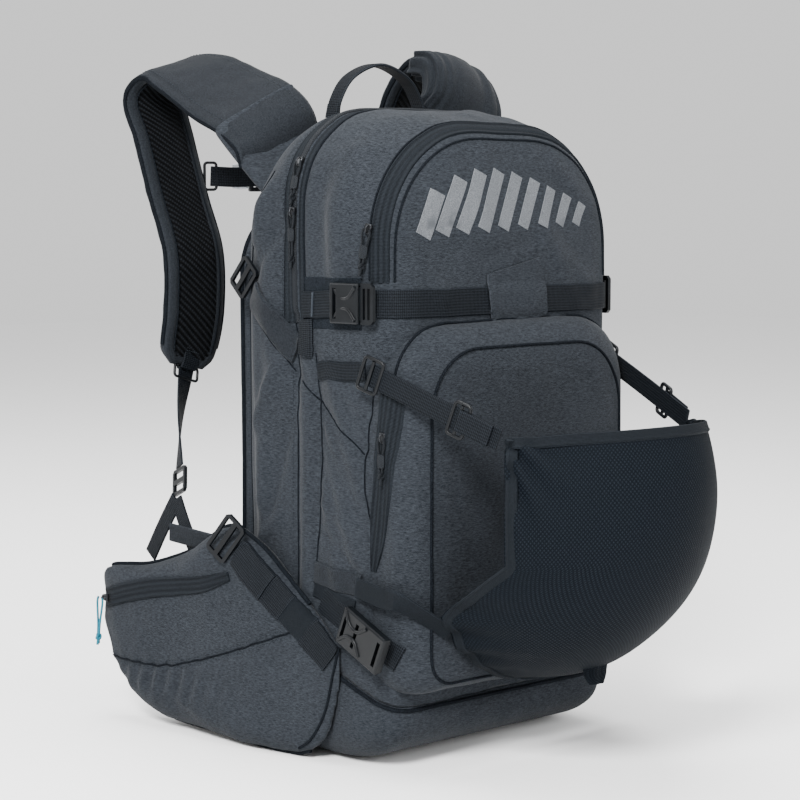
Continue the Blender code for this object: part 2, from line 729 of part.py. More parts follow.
def make_side_strap(side_name):
    """The diagonal strap on the pack's upper side, with its adjuster at the rear end."""
    side = SIDES[side_name]
    x = side * (HALF_WIDTH + WEB_OFFSET)
    start, end = (Vector((x, y, z)) for y, z in SIDE_STRAP)
    along = (end - start).normalized()
    across = along.cross(Vector((side, 0.0, 0.0)))
    name = f"side_strap_{side_name}"
    strap = ribbon(name, [start, end], across, SIDE_STRAP_WIDTH, SIDE_STRAP_THICKNESS, steps=2)
    add_part(strap, "webbing")
    at = start - along * 0.0150
    lock = ladder_lock(f"side_buckle_{side_name}", at, along, (side, 0.0, 0.0), SIDE_STRAP_WIDTH)
    add_part(lock, "buckle_plastic")


# Zip sliders and their cord pulls

def zip_slider(name, matrix, with_hole=True):
    """Slider block: local x is the way it runs, local z is up from the zip."""
    length, width, height = SLIDER_SIZE
    obj = box(name, (-length / 2, -width / 2, 0.0), (length / 2, width / 2, height), matrix, 0.0010)
    if with_hole:
        hole = cylinder(f"{name}_hole", (0.0, 0.0, PULL_HOLE_HEIGHT), PULL_HOLE_RADIUS, 0.02, matrix)
        combine(obj, hole)
    return obj


def pull_points(length):
    """A loop through the slider's hole whose two strands hang together, in local y and x."""
    half = SLIDER_SIZE[1] / 2 + 0.0018
    strand = 0.0014
    points = [(0.0, -half * 0.5), (0.0, half * 0.5), (0.0010, half), (0.0050, half)]
    points += [(0.0120, strand * 1.4), (length * 0.55, strand), (length - 0.001, strand), (length, 0.0)]
    points += [(u, -v) for u, v in reversed(points[2:-1])]
    return [(u, v, 0.0) for u, v in points]


def add_slider(name, matrix, slider_joint, parent, length=PULL_LENGTH, lean=0.0):
    """A slider on its joint, with a cord pull hinged in its hole; lean tips the pull inwards."""
    add_joint(slider_joint, matrix.translation, parent)
    add_part(zip_slider(f"{name}_slider", matrix), "slider_metal", slider_joint)
    hole = matrix @ Vector((0.0, 0.0, PULL_HOLE_HEIGHT))
    add_joint(f"{name}_pull", hole, slider_joint)
    lean_turn = Matrix.Rotation(math.radians(lean), 4, "Y")
    pull_matrix = Matrix.Translation(hole) @ matrix.to_3x3().to_4x4() @ lean_turn
    add_part(cord_loop(f"{name}_pull", pull_points(length), CORD_RADIUS, pull_matrix), "cord", f"{name}_pull")


def make_main_zip():
    """Two sliders of the main zip: one on the left side, one on the top left corner."""
    down = (0.0, 0.0, -1.0)
    lower = basis((-HALF_WIDTH - 0.0006, MAIN_SLIDER_Y, MAIN_SLIDER_Z), down, (-1.0, 0.0, 0.0))
    add_slider("main_zip_lower", lower, "main_zip_lower_slide", None)
    angle = math.radians(ARC_SLIDER_DEGREES)
    outward = Vector((-math.cos(angle), 0.0, math.sin(angle)))
    radius = at_section(MAIN_SLIDER_Y, 4)
    centre = Vector((radius - HALF_WIDTH, MAIN_SLIDER_Y, HEIGHT - radius))
    at = centre + outward * (radius + 0.0006)
    upper = basis(at, (-math.sin(angle), 0.0, -math.cos(angle)), outward)
    add_slider("main_zip_upper", upper, "main_zip_upper_slide", None, SHORT_PULL, PULL_LEAN_DEGREES)


def make_front_zips():
    """The slider of the front compartment's zip and the one of the pocket's side zip."""
    front = basis(FRONT_SLIDER, FRONT_SLIDER_ALONG, FRONT_SLIDER_OUT)
    add_slider("front_zip", front, "front_zip_slide", "front_panel", SHORT_PULL)
    at = (-POCKET_HALF_WIDTH - 0.0006, *POCKET_SLIDER)
    pocket = basis(at, (0.0, 0.0, -1.0), (-1.0, 0.0, 0.0))
    add_slider("pocket_zip", pocket, "pocket_zip_slide", "front_panel", SHORT_PULL)


# Hip belt

def belt_loft(name, sections, side):
    """A flat-sided pad whose height and thickness change along y."""
    rings = []
    for y, outer, inner, low, high in sections:
        middle = (outer + inner) / 2
        half = (outer - inner) / 2
        radius = min(0.45 * (high - low), 0.9 * half)
        outline = rounded_outline(half, low, high, radius, radius, 4)
        rings.append([(side * (middle + x), y, z) for x, z in outline])
    return loft(name, rings)


def make_hip_fin(side_name):
    """The part of the hip belt that is sewn to the pack's base."""
    side = SIDES[side_name]
    add_part(belt_loft(f"hip_fin_{side_name}", FIN_SECTIONS, side), "heather_fabric")


def make_hip_strap(side_name):
    """The wide stabiliser webbing along the fin's top edge and its triglide."""
    side = SIDES[side_name]
    (low_y, low_z), (high_y, high_z) = HIP_STRAP
    fin_y = [row[0] for row in FIN_SECTIONS]
    fin_x = [row[1] for row in FIN_SECTIONS]
    points = []
    for y in (low_y, *HIP_STRAP_BENDS, high_y):
        z = low_z + (high_z - low_z) * (y - low_y) / (high_y - low_y)
        points.append((side * (float(np.interp(y, fin_y, fin_x)) + 0.0022), y, z))
    ends = Vector(points[-1]) - Vector(points[0])
    across = ends.cross(Vector((side, -0.27, 0.0))).normalized()
    strap = ribbon(f"hip_strap_{side_name}", points, tuple(across), HIP_STRAP_WIDTH, 0.0018, steps=1)
    add_part(strap, "webbing")
    at = Vector(points[-1]) + ends.normalized() * 0.0150
    lock = ladder_lock(f"hip_triglide_{side_name}", at, ends, (side, -0.3, 0.0), HIP_STRAP_WIDTH)
    add_part(lock, "buckle_plastic")


def make_hip_wing(side_name):
    side = SIDES[side_name]
    joint = f"hip_wing_{side_name}"
    add_joint(joint, mirrored(WING_HINGE, side))
    add_part(belt_loft(joint, WING_SECTIONS, side), "heather_fabric", joint)


def make_stay_strap(side_name):
    """The V of webbing that ties the shoulder strap's adjuster to the wing."""
    side = SIDES[side_name]
    top_y, top_z = STAY_TOPS[side_name]
    front_foot, rear_foot = ((y - top_y, z - top_z) for y, z in STAY_FEET)
    web = STAY_WIDTH / 2
    outline = [(-web, 0.0), (front_foot[0] - web, front_foot[1]), (front_foot[0] + web, front_foot[1])]
    outline += [(0.0, -STAY_FORK), (rear_foot[0] - web, rear_foot[1])]
    outline += [(rear_foot[0] + web, rear_foot[1]), (web, 0.0)]
    matrix = basis((side * STAY_X, top_y, top_z), (0.0, 1.0, 0.0), (side, 0.0, 0.0))
    drawn = [(u, v * side) for u, v in outline]
    strap = plate(f"stay_strap_{side_name}", [drawn], WEB_THICKNESS, matrix)
    add_part(strap, "webbing", f"hip_wing_{side_name}")


def make_belt_webbing(side_name):
    """Waist webbing from the wing's tip, tucked back along its inner face with its buckle half."""
    side = SIDES[side_name]
    path = [(side * x, y, BELT_Z) for x, y in BELT_PATH]
    joint = f"hip_wing_{side_name}"
    webbing = ribbon(f"belt_webbing_{side_name}", path, (0.0, 0.0, 1.0), BELT_WIDTH, steps=2)
    add_part(webbing, "webbing", joint)
    tail = Vector(path[-1]) - Vector(path[-2])
    matrix = basis(Vector(path[-1]) + tail.normalized() * 0.001, tail, (-side, 0.3, 0.0))
    if side < 0:
        add_part(buckle_female("belt_buckle_female", matrix, BELT_WIDTH), "buckle_plastic", joint)
    else:
        add_part(buckle_male("belt_buckle_male", matrix, BELT_WIDTH), "buckle_plastic", joint)


def make_hip_zip(side_name):
    """The slider of the wing's pocket zip, with its cord loop."""
    side = SIDES[side_name]
    joint = f"hip_zip_{side_name}"
    at = Vector(mirrored(HIP_SLIDER, side))
    add_joint(joint, at, f"hip_wing_{side_name}")
    matrix = basis(at, (0.0, 1.0, 0.0), (side, 0.0, 0.0))
    obj = zip_slider(f"hip_zip_slider_{side_name}", matrix, with_hole=False)
    hanging = basis(matrix @ Vector((0.003, 0.0, 0.0030)), (0.0, 0.0, -1.0), (side, 0.0, 0.0))
    combine(obj, cord_loop(f"hip_cord_{side_name}", pull_points(0.034), CORD_RADIUS, hanging), "UNION")
    add_part(obj, "slider_metal", joint)


# Helmet net

def net_point(across, down):
    """A point of the dome: across runs -1 to 1, down runs 0 at the top rim to 1 at the lowest."""
    elevation = math.radians(NET_TOP_ELEVATION + (NET_LOW_ELEVATION - NET_TOP_ELEVATION) * down)
    reach = NET_HALF[1] * math.cos(elevation)
    widest = math.radians(58.0 + 32.0 * min(max((down - 0.35) / 0.25, 0.0), 1.0))
    limit = math.acos(min(NET_FRONT_CLEARANCE / reach, 1.0))
    turn = across * min(widest, limit)
    rise = NET_HALF[2] * math.sin(elevation) - 0.010 * across ** 2 * (1.0 - down)
    return (
        NET_CENTRE[0] + NET_HALF[0] * math.sin(turn) * math.cos(elevation),
        NET_CENTRE[1] - reach * math.cos(turn),
        NET_CENTRE[2] + rise,
    )


def make_helmet_net():
    """The dome of net, open above and behind, as it stands round a helmet."""
    columns, rows = 14, 12
    bm = bmesh.new()
    grid = []
    for row in range(rows + 1):
        line = [net_point(2 * column / columns - 1, row / rows) for column in range(columns + 1)]
        grid.append([bm.verts.new(point) for point in line])
    for upper, lower in zip(grid, grid[1:]):
        for i in range(columns):
            bm.faces.new((upper[i], lower[i], lower[i + 1], upper[i + 1]))
    obj = object_from("helmet_net", bm)
    solidify = obj.modifiers.new("Solidify", "SOLIDIFY")
    solidify.thickness = NET_THICKNESS
    solidify.offset = 0.0
    add_part(obj, "net_fabric", "helmet_net")


def make_net_strap(side_name):
    """The net's upper strap, with the hook that holds it to the pack's side."""
    side = SIDES[side_name]
    corner = Vector(net_point(float(side), 0.0))
    hook = Vector(mirrored(NET_HOOK, side))
    start = corner + (hook - corner).normalized() * 0.003 + Vector((side * 0.0035, 0.0, 0.0))
    end = hook - (hook - corner).normalized() * 0.010
    along = (end - start).normalized()
    across = along.cross(Vector((side, -0.3, 0.0))).normalized()
    middle = start.lerp(end, 0.5) + Vector((side * 0.001, 0.0, 0.0))
    path = [start, middle, end]
    obj = ribbon(f"net_strap_{side_name}", path, tuple(across), NET_STRAP_WIDTH, 0.0018, steps=2)
    for label, at in (("lock", start.lerp(end, 0.30)), ("hook", end)):
        matrix = basis(at, along, (side, -0.3, 0.0))
        low, high = (-0.010, -0.014, -0.0016), (0.010, 0.014, 0.0022)
        tool = box(f"net_{label}_{side_name}", low, high, matrix, 0.001)
        combine(obj, tool, "UNION")
    add_part(obj, "webbing", "helmet_net")


# Sternum strap

def make_sternum_strap():
    left, right = Vector(STERNUM_ENDS[0]), Vector(STERNUM_ENDS[1])
    along = (right - left).normalized()
    normal = Vector((0.0, 0.0, 1.0)).cross(along)
    mouth = left.lerp(right, 0.50)
    add_joint("sternum_buckle", mouth, "sternum_strap")
    across = (0.0, 0.0, 1.0)
    spans = {
        "left": (left, mouth - along * (FEMALE_LENGTH - 0.010)),
        "right": (mouth + along * 0.006, right),
    }
    for side_name, (start, end) in spans.items():
        strap = ribbon(f"sternum_strap_{side_name}", [start, end], across, STERNUM_WIDTH, steps=1)
        clip_at = start if side_name == "left" else end
        clip = box(f"sternum_clip_{side_name}", (-0.005, -0.014, -0.002), (0.005, 0.014, 0.004),
                   basis(clip_at, along, normal), 0.001)
        combine(strap, clip, "UNION")
        add_part(strap, "webbing", "sternum_strap")
    mouth += normal * 0.0012
    add_buckle("sternum", "", mouth, along, normal, STERNUM_WIDTH, "sternum_strap", "sternum_buckle")


def main():
    clear_scene()
    add_joint("front_panel", LID_HINGE)
    add_joint("helmet_net", NET_HINGE, "front_panel")
    add_joint("haul_loop", HAUL_HINGE)
    sternum = Vector(STERNUM_ENDS[0]).lerp(Vector(STERNUM_ENDS[1]), 0.5)
    add_joint("sternum_strap", sternum)
    make_base_panel()
    make_rear_shell()
    make_front_compartment()
    make_front_pocket()
    make_back_panel()
    make_back_protector()
    make_hydration_sleeve()
    make_shoulder_straps()
    make_strap_cover()
    make_haul_loop()
    make_upper_strap()
    make_main_zip()
    make_front_zips()
    make_helmet_net()
    make_sternum_strap()
    for side_name in SIDES:
        make_strap_webbing(side_name)
        make_upper_buckle(side_name)
        make_lower_strap(side_name)
        make_side_strap(side_name)
        make_hip_fin(side_name)
        make_hip_strap(side_name)
        make_hip_wing(side_name)
        make_stay_strap(side_name)
        make_belt_webbing(side_name)
        make_hip_zip(side_name)
        make_net_strap(side_name)


main()
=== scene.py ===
"""The looks of a ski backpack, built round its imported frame.

Metres, +Z up. -Y is the outer face, +Y the wearer's side, -X is left and side -1.
"""
import json
import math

import bmesh
import bpy
import numpy as np
from mathutils import Matrix, Vector, noise
from mathutils.bvhtree import BVHTree

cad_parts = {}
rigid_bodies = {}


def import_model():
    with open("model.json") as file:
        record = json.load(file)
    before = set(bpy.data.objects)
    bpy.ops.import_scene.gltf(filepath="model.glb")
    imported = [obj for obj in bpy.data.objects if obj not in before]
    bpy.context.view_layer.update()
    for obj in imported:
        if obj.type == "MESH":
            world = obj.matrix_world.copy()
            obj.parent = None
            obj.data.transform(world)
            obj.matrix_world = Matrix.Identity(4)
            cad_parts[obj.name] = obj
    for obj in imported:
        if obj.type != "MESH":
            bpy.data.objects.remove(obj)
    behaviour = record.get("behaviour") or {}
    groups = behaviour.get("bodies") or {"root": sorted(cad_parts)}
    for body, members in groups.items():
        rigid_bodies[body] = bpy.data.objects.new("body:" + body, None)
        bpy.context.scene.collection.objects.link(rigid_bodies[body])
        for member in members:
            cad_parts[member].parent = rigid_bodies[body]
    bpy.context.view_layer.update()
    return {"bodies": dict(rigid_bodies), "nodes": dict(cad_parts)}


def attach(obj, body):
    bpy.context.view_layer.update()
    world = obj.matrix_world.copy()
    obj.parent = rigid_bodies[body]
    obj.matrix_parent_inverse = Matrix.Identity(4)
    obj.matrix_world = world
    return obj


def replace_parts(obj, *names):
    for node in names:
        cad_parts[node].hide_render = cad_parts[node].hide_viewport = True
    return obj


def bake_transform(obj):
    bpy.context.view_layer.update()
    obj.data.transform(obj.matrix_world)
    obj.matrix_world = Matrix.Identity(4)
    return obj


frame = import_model()

SIDES = {"left": -1, "right": 1}

# Pack body: y, inset, drop of the top, rise of the base, top radius of each section
HALF_WIDTH = 0.148
HEIGHT = 0.590
BASE_RADIUS = 0.030
SECTIONS = (
    (-0.1180, 0.0340, 0.020, 0.048, 0.080),
    (-0.1135, 0.0170, 0.014, 0.032, 0.096),
    (-0.1030, 0.0070, 0.012, 0.020, 0.104),
    (-0.0850, 0.0025, 0.010, 0.010, 0.106),
    (-0.0600, 0.0000, 0.006, 0.003, 0.102),
    (-0.0300, 0.0000, 0.002, 0.000, 0.095),
    (0.0000, 0.0000, 0.000, 0.000, 0.088),
    (0.0300, 0.0000, 0.004, 0.000, 0.085),
    (0.0550, 0.0020, 0.016, 0.000, 0.083),
    (0.0700, 0.0055, 0.027, 0.000, 0.080),
    (0.0780, 0.0080, 0.034, 0.008, 0.077),
    (0.0900, 0.0180, 0.055, 0.018, 0.067),
    (0.0950, 0.0320, 0.072, 0.032, 0.053),
)
SHELL = 0.005
SEAM_Z = 0.105
SEAM_SLOPE = 0.4077
ZIP_Y = -0.0005

POCKET_HALF_WIDTH = 0.143
POCKET_Z = (0.070, 0.400)
POCKET_RADII = (0.024, 0.058)
POCKET_SECTIONS = ((-0.0960, 0.0), (-0.1220, 0.002), (-0.1360, 0.008), (-0.1460, 0.022), (-0.1500, 0.040))

# Straps: centre, half width, direction across
LEFT_STRAP = (
    (-0.084, 0.1030, 0.548, 0.046, -0.85, 0.08, -0.50),
    (-0.090, 0.1080, 0.573, 0.046, -0.84, 0.08, -0.52),
    (-0.094, 0.1300, 0.592, 0.046, -0.85, 0.10, -0.50),
    (-0.097, 0.1650, 0.606, 0.045, -0.86, 0.10, -0.49),
    (-0.102, 0.2150, 0.628, 0.042, -0.90, 0.10, -0.42),
    (-0.107, 0.2520, 0.632, 0.036, -0.95, 0.08, -0.30),
    (-0.110, 0.2720, 0.606, 0.035, -0.98, 0.05, -0.15),
    (-0.111, 0.2540, 0.565, 0.035, -1.00, 0.00, 0.00),
    (-0.112, 0.2305, 0.510, 0.035, -1.00, 0.00, 0.00),
    (-0.114, 0.2040, 0.456, 0.035, -1.00, 0.00, 0.00),
    (-0.117, 0.1990, 0.400, 0.035, -1.00, 0.00, 0.00),
    (-0.121, 0.2035, 0.360, 0.033, -1.00, 0.00, 0.00),
    (-0.124, 0.2035, 0.343, 0.020, -1.00, 0.00, 0.00),
)
RIGHT_STRAP = (
    (0.106, 0.0860, 0.553, 0.046, -0.86, -0.05, 0.48),
    (0.112, 0.0720, 0.578, 0.047, -0.86, -0.05, 0.45),
    (0.116, 0.0660, 0.605, 0.044, -0.88, -0.05, 0.38),
    (0.115, 0.0750, 0.629, 0.040, -0.92, -0.05, 0.28),
    (0.111, 0.0980, 0.638, 0.037, -0.97, -0.05, 0.15),
    (0.108, 0.1260, 0.617, 0.035, -1.00, 0.00, 0.00),
    (0.106, 0.1460, 0.570, 0.035, -1.00, 0.00, 0.00),
    (0.108, 0.1600, 0.500, 0.035, -1.00, 0.00, 0.00),
    (0.113, 0.1720, 0.435, 0.035, -1.00, 0.00, 0.00),
    (0.121, 0.1840, 0.370, 0.031, -1.00, 0.00, 0.00),
    (0.124, 0.1870, 0.350, 0.020, -1.00, 0.00, 0.00),
)
STRAPS = {"left": LEFT_STRAP, "right": RIGHT_STRAP}
STRAP_THICKNESS = 0.014
# Where the webbing from each strap's foot meets its adjuster
ADJUSTERS = {"left": (-0.150, 0.180, 0.248), "right": (0.150, 0.175, 0.258)}

# Hip belt: y, outer x, inner x, lowest z, highest z
BELT_SECTIONS = (
    (-0.0640, 0.1530, 0.1490, 0.080, 0.108),
    (-0.0500, 0.1550, 0.1490, 0.030, 0.122),
    (-0.0250, 0.1610, 0.1490, 0.006, 0.143),
    (0.0050, 0.1690, 0.1490, 0.001, 0.168),
    (0.0300, 0.1760, 0.1490, 0.001, 0.188),
    (0.0550, 0.1810, 0.1490, 0.001, 0.200),
    (0.0780, 0.1850, 0.1430, 0.001, 0.204),
    (0.1000, 0.1880, 0.1400, 0.002, 0.196),
    (0.1350, 0.1910, 0.1380, 0.003, 0.176),
    (0.1650, 0.1950, 0.1450, 0.006, 0.164),
    (0.1950, 0.1985, 0.1540, 0.018, 0.155),
    (0.2250, 0.1985, 0.1660, 0.046, 0.151),
    (0.2450, 0.1960, 0.1760, 0.080, 0.147),
    (0.2540, 0.1920, 0.1810, 0.104, 0.140),
)

NET_CENTRE = (0.0, -0.135, 0.252)
NET_HALF = (0.146, 0.198, 0.178)
NET_ELEVATIONS = (21.0, -83.0)
NET_CLEARANCE = 0.0215

UPPER_STRAP_Z = 0.416
SLIDER_Y = 0.0042
SLIDER_RISE = 0.0006
CORD_RADIUS = 0.0011
PULLS = {
    "main_zip_lower": 0.046,
    "main_zip_upper": 0.037,
    "front_zip": 0.037,
    "pocket_zip": 0.037,
}


# Curves and lines, as arrays with one point in each row

def unit(rows):
    return rows / np.maximum(np.linalg.norm(rows, axis=-1, keepdims=True), 1e-12)


def lengths(line):
    return np.concatenate([[0.0], np.cumsum(np.linalg.norm(np.diff(line[:, :3], axis=0), axis=1))])


def even(line, spacing):
    """The line again, with evenly spaced points."""
    line = np.asarray(line, float)
    along = lengths(line)
    at = np.linspace(0.0, along[-1], max(2, round(along[-1] / spacing)) + 1)
    return np.stack([np.interp(at, along, line[:, k]) for k in range(line.shape[1])], axis=1)


def smooth(points, spacing=0.004):
    """A Catmull-Rom curve through the points, evenly spaced; extra numbers ride along."""
    rows = np.array(points, float)
    rows = np.vstack([2 * rows[0] - rows[1], rows, 2 * rows[-1] - rows[-2]])
    t = (np.arange(12) / 12)[:, None]
    fine = []
    for a, b, c, d in zip(rows, rows[1:], rows[2:], rows[3:]):
        square, cube = 2 * a - 5 * b + 4 * c - d, 3 * b - a - 3 * c + d
        fine.append((2 * b + (c - a) * t + square * t ** 2 + cube * t ** 3) / 2)
    return even(np.vstack(fine + [rows[-2:-1]]), spacing)


def arc(centre, radius, start, end, steps=16):
    angles = np.radians(np.linspace(start, end, steps + 1))
    return np.stack([centre[0] + radius * np.cos(angles), centre[1] + radius * np.sin(angles)], axis=1)


def outline(half, low, high, low_radius, high_radius):
    """A rounded rectangle about x = 0, from the middle of its low edge round by +x."""
    low_x, high_x = half - low_radius, half - high_radius
    parts = [
        [(0.0, low)],
        arc((low_x, low + low_radius), low_radius, -90, 0),
        arc((high_x, high - high_radius), high_radius, 0, 90),
        arc((-high_x, high - high_radius), high_radius, 90, 180),
        arc((-low_x, low + low_radius), low_radius, 180, 270),
        [(0.0, low)],
    ]
    return np.vstack(parts)


def closed_even(points, count):
    """Count evenly spaced points on a closed outline."""
    along = lengths(np.column_stack([points, np.zeros(len(points))]))
    at = np.linspace(0.0, along[-1], count, endpoint=False)
    return np.stack([np.interp(at, along, points[:, k]) for k in range(2)], axis=1)


# Meshes

def mesh_object(name, points, faces, uvs=None):
    mesh = bpy.data.meshes.new(name)
    mesh.from_pydata(np.asarray(points, float).tolist(), [], faces)
    if uvs is not None:
        corners = np.zeros(len(mesh.loops), np.int32)
        mesh.loops.foreach_get("vertex_index", corners)
        layer = mesh.uv_layers.new(name="UVMap")
        layer.data.foreach_set("uv", np.asarray(uvs, np.float32)[corners].ravel())
    obj = bpy.data.objects.new(name, mesh)
    bpy.context.scene.collection.objects.link(obj)
    return obj


def grid_faces(rows, columns, closed):
    faces = []
    for r in range(rows - 1):
        for c in range(columns if closed else columns - 1):
            d = (c + 1) % columns
            faces.append((r * columns + c, r * columns + d, (r + 1) * columns + d, (r + 1) * columns + c))
    return faces


def tube_faces(rows, columns):
    """Faces of a closed tube with a flat face over each end."""
    ends = [tuple(range(columns)), tuple((rows - 1) * columns + i for i in range(columns))]
    return grid_faces(rows, columns, True) + ends


def tidy_mesh(obj, merge=0.00001):
    """Merge doubled points, unless merge is 0, and turn every face outwards."""
    bm = bmesh.new()
    bm.from_mesh(obj.data)
    if merge:
        bmesh.ops.remove_doubles(bm, verts=bm.verts, dist=merge)
    bmesh.ops.recalc_face_normals(bm, faces=bm.faces)
    bm.to_mesh(obj.data)
    bm.free()


def finish_piece(obj, material, body, sharp=40):
    """Material or materials by key, shading, and the body that the piece belongs to."""
    keys = [material] if isinstance(material, str) else material
    obj.data.materials.clear()
    for key in keys:
        obj.data.materials.append(MATERIALS[key])
    obj.data.shade_smooth()
    if sharp:
        obj.data.set_sharp_from_angle(angle=math.radians(sharp))
    if body:
        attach(obj, body)
    return obj


def add_modifier(obj, kind, **settings):
    modifier = obj.modifiers.new(kind.title(), kind)
    for key, value in settings.items():
        setattr(modifier, key, value)


def coordinates(obj):
    co = np.zeros(len(obj.data.vertices) * 3, np.float32)
    obj.data.vertices.foreach_get("co", co)
    return co.reshape(-1, 3).astype(float)


def set_coordinates(obj, co):
    obj.data.vertices.foreach_set("co", co.astype(np.float32).ravel())


def flat_uvs(obj, across, up):
    """Cloth coordinates in metres from two columns of the points' coordinates."""
    layer = obj.data.uv_layers.new(name="UVMap")
    corners = np.zeros(len(obj.data.loops), np.int32)
    obj.data.loops.foreach_get("vertex_index", corners)
    flat = np.stack([across, up], axis=1).astype(np.float32)
    layer.data.foreach_set("uv", flat[corners].ravel())


def normals_of(obj):
    no = np.zeros(len(obj.data.vertices) * 3, np.float32)
    obj.data.vertex_normals.foreach_get("vector", no)
    return no.reshape(-1, 3).astype(float)


def displace(obj, amount):
    """Move every point along its normal by amount, a function of the points."""
    co = coordinates(obj)
    set_coordinates(obj, co + normals_of(obj) * amount(co)[:, None])
    obj.data.update()


def surface_of(*objects):
    """A tree of the objects' faces, to lay a piece on finished fabric."""
    points, faces = [], []
    for obj in objects:
        start = len(points)
        points += [tuple(p) for p in coordinates(obj)]
        faces += [tuple(start + i for i in polygon.vertices) for polygon in obj.data.polygons]
    return BVHTree.FromPolygons(points, faces)


def averaged(rows, passes=2):
    for _ in range(passes):
        padded = np.vstack([rows[:1], rows, rows[-1:]])
        rows = (padded[:-2] + 2 * padded[1:-1] + padded[2:]) / 4
    return rows


def frames_along(path, normal=None, surface=None):
    """Path on the surface, with its directions along, across and up."""
    path = np.asarray(path, float)
    if surface:
        found = [surface.find_nearest(Vector(p)) for p in path]
        path = averaged(np.array([tuple(f[0]) for f in found]), 1)
        normal = averaged(np.array([tuple(f[1]) for f in found]), 4)
    tangent = unit(np.gradient(path, axis=0))
    normal = np.broadcast_to(np.array(normal, float), path.shape)
    normal = unit(normal - tangent * np.sum(normal * tangent, axis=1, keepdims=True))
    return path, tangent, np.cross(tangent, normal), normal


def sweep(name, path, section, material, body, normal=None, surface=None, scale=None, lift=0.0):
    """Carry a closed section, given as pairs across and up, along a path."""
    path, _, side, up = frames_along(path, normal, surface)
    along = lengths(path)
    section = np.array(section, float)
    points, uvs = [], []
    for i, centre in enumerate(path):
        k = 1.0 if scale is None else float(scale[i])
        for across, rise in section:
            place = centre + side[i] * across * k
            if surface:
                place = np.array(surface.find_nearest(Vector(place))[0])
            points.append(place + up[i] * (rise + lift))
            uvs.append((along[i], across * k))
    obj = mesh_object(name, points, tube_faces(len(path), len(section)), uvs)
    tidy_mesh(obj, 0)
    return finish_piece(obj, material, body)


def flat_section(width, thickness, rows=6, beads=()):
    """Flat tape with soft edges; beads are raised ridges, each as place, width and height."""
    half = width / 2
    edge = min(thickness * 0.6, half * 0.3)
    inner = np.linspace(-half + edge, half - edge, rows)
    if beads:
        inner = np.linspace(-half + edge, half - edge, max(rows, round(width / 0.0007)))
    rise = np.full(len(inner), thickness)
    for place, spread, height in beads:
        rise = rise + height * np.exp(-((inner - place) / spread) ** 2)
    top = [(-half, thickness * 0.35)] + list(zip(inner, rise)) + [(half, thickness * 0.35)]
    bottom = [(a, -0.0004) for a in np.linspace(half - edge / 2, -half + edge / 2, rows)]
    return top + bottom


def round_section(radius, sides=10, rise=0.0):
    angles = np.linspace(0.0, 2 * math.pi, sides, endpoint=False) - math.pi / 2
    return [(radius * math.cos(a), rise + radius * math.sin(a)) for a in angles]


def piping(name, path, body, surface, radius=0.0013):
    """A round seam cord, half sunk in the fabric."""
    return sweep(name, path, round_section(radius, 8, radius * 0.35), "seam", body, surface=surface)


def thread_rows(name, rows, body, half, radius, lift, rise):
    """One small spindle for each stitch; a row is its places and the ways along, across and up."""
    points, faces = [], []
    for row in rows:
        for centre, t, s, n in zip(*row):
            start = len(points)
            middle = centre + n * rise
            points += [centre + n * lift - t * half, centre + n * lift + t * half]
            points += [middle + s * radius, middle + n * radius, middle - s * radius, middle - n * radius]
            for a, b in ((2, 3), (3, 4), (4, 5), (5, 2)):
                faces += [(start, start + b, start + a), (start + 1, start + a, start + b)]
    return finish_piece(mesh_object(name, points, faces), "thread", body, sharp=0)


def stitches(name, paths, body, surface=None, normal=None, pitch=0.0042, radius=0.00042, lift=0.0002):
    """Rows of thread along paths."""
    rows = [frames_along(even(line, pitch), normal, surface) for line in paths]
    return thread_rows(name, rows, body, pitch * 0.34, radius, lift, lift + radius * 0.5)


# Shape fields: how far fabric stands out or in at each point

FAR = 1e9


def near(points, path, width):
    """1 on the path and 0 away from it."""
    best = np.full(len(points), FAR)
    low, high = path.min(axis=0) - 4 * width, path.max(axis=0) + 4 * width
    close = np.all((points > low) & (points < high), axis=1)
    found = points[close]
    gap = np.full(len(found), FAR)
    for spot in path:
        gap = np.minimum(gap, np.sum((found - spot) ** 2, axis=1))
    best[close] = gap
    return np.exp(-best / width ** 2)


def ripple(points, scale, shift=0.0):
    """Smooth noise from about -0.5 to 0.5."""
    spots = points * np.array(scale, float) + shift
    return np.array([noise.noise(Vector(p)) for p in spots])


def gauss(points, centre, spread):
    gap = (points - np.array(centre)) / np.array(spread)
    return np.exp(-np.sum(gap ** 2, axis=1))


def simulate(obj, pressure, cap, voxel, frames):
    """Swell a closed form with the cloth solver, and keep it within cap of where it was."""
    add_modifier(obj, "REMESH", mode="VOXEL", voxel_size=voxel)
    add_modifier(obj, "SMOOTH", iterations=4)
    bake_modifiers(obj)
    rest = coordinates(obj)
    cloth = obj.modifiers.new("Cloth", "CLOTH")
    cloth.settings.use_pressure = True
    cloth.settings.uniform_pressure_force = pressure
    cloth.settings.effector_weights.gravity = 0.0
    cloth.settings.quality = 5
    cloth.point_cache.frame_start = 1
    cloth.point_cache.frame_end = frames
    for step in range(1, frames + 1):
        bpy.context.scene.frame_set(step)
    bake_modifiers(obj)
    moved = coordinates(obj) - rest
    far = np.linalg.norm(moved, axis=1, keepdims=True)
    set_coordinates(obj, rest + moved * np.minimum(1.0, cap / np.maximum(far, 1e-9)))
    bpy.context.scene.frame_set(1)


def bake_modifiers(obj):
    """Make the evaluated mesh the object's own."""
    graph = bpy.context.evaluated_depsgraph_get()
    mesh = bpy.data.meshes.new_from_object(obj.evaluated_get(graph))
    old = obj.data
    # Bake a piece's placement into its mesh.
    obj.modifiers.clear()
    obj.data = mesh
    bpy.data.meshes.remove(old)


# Materials

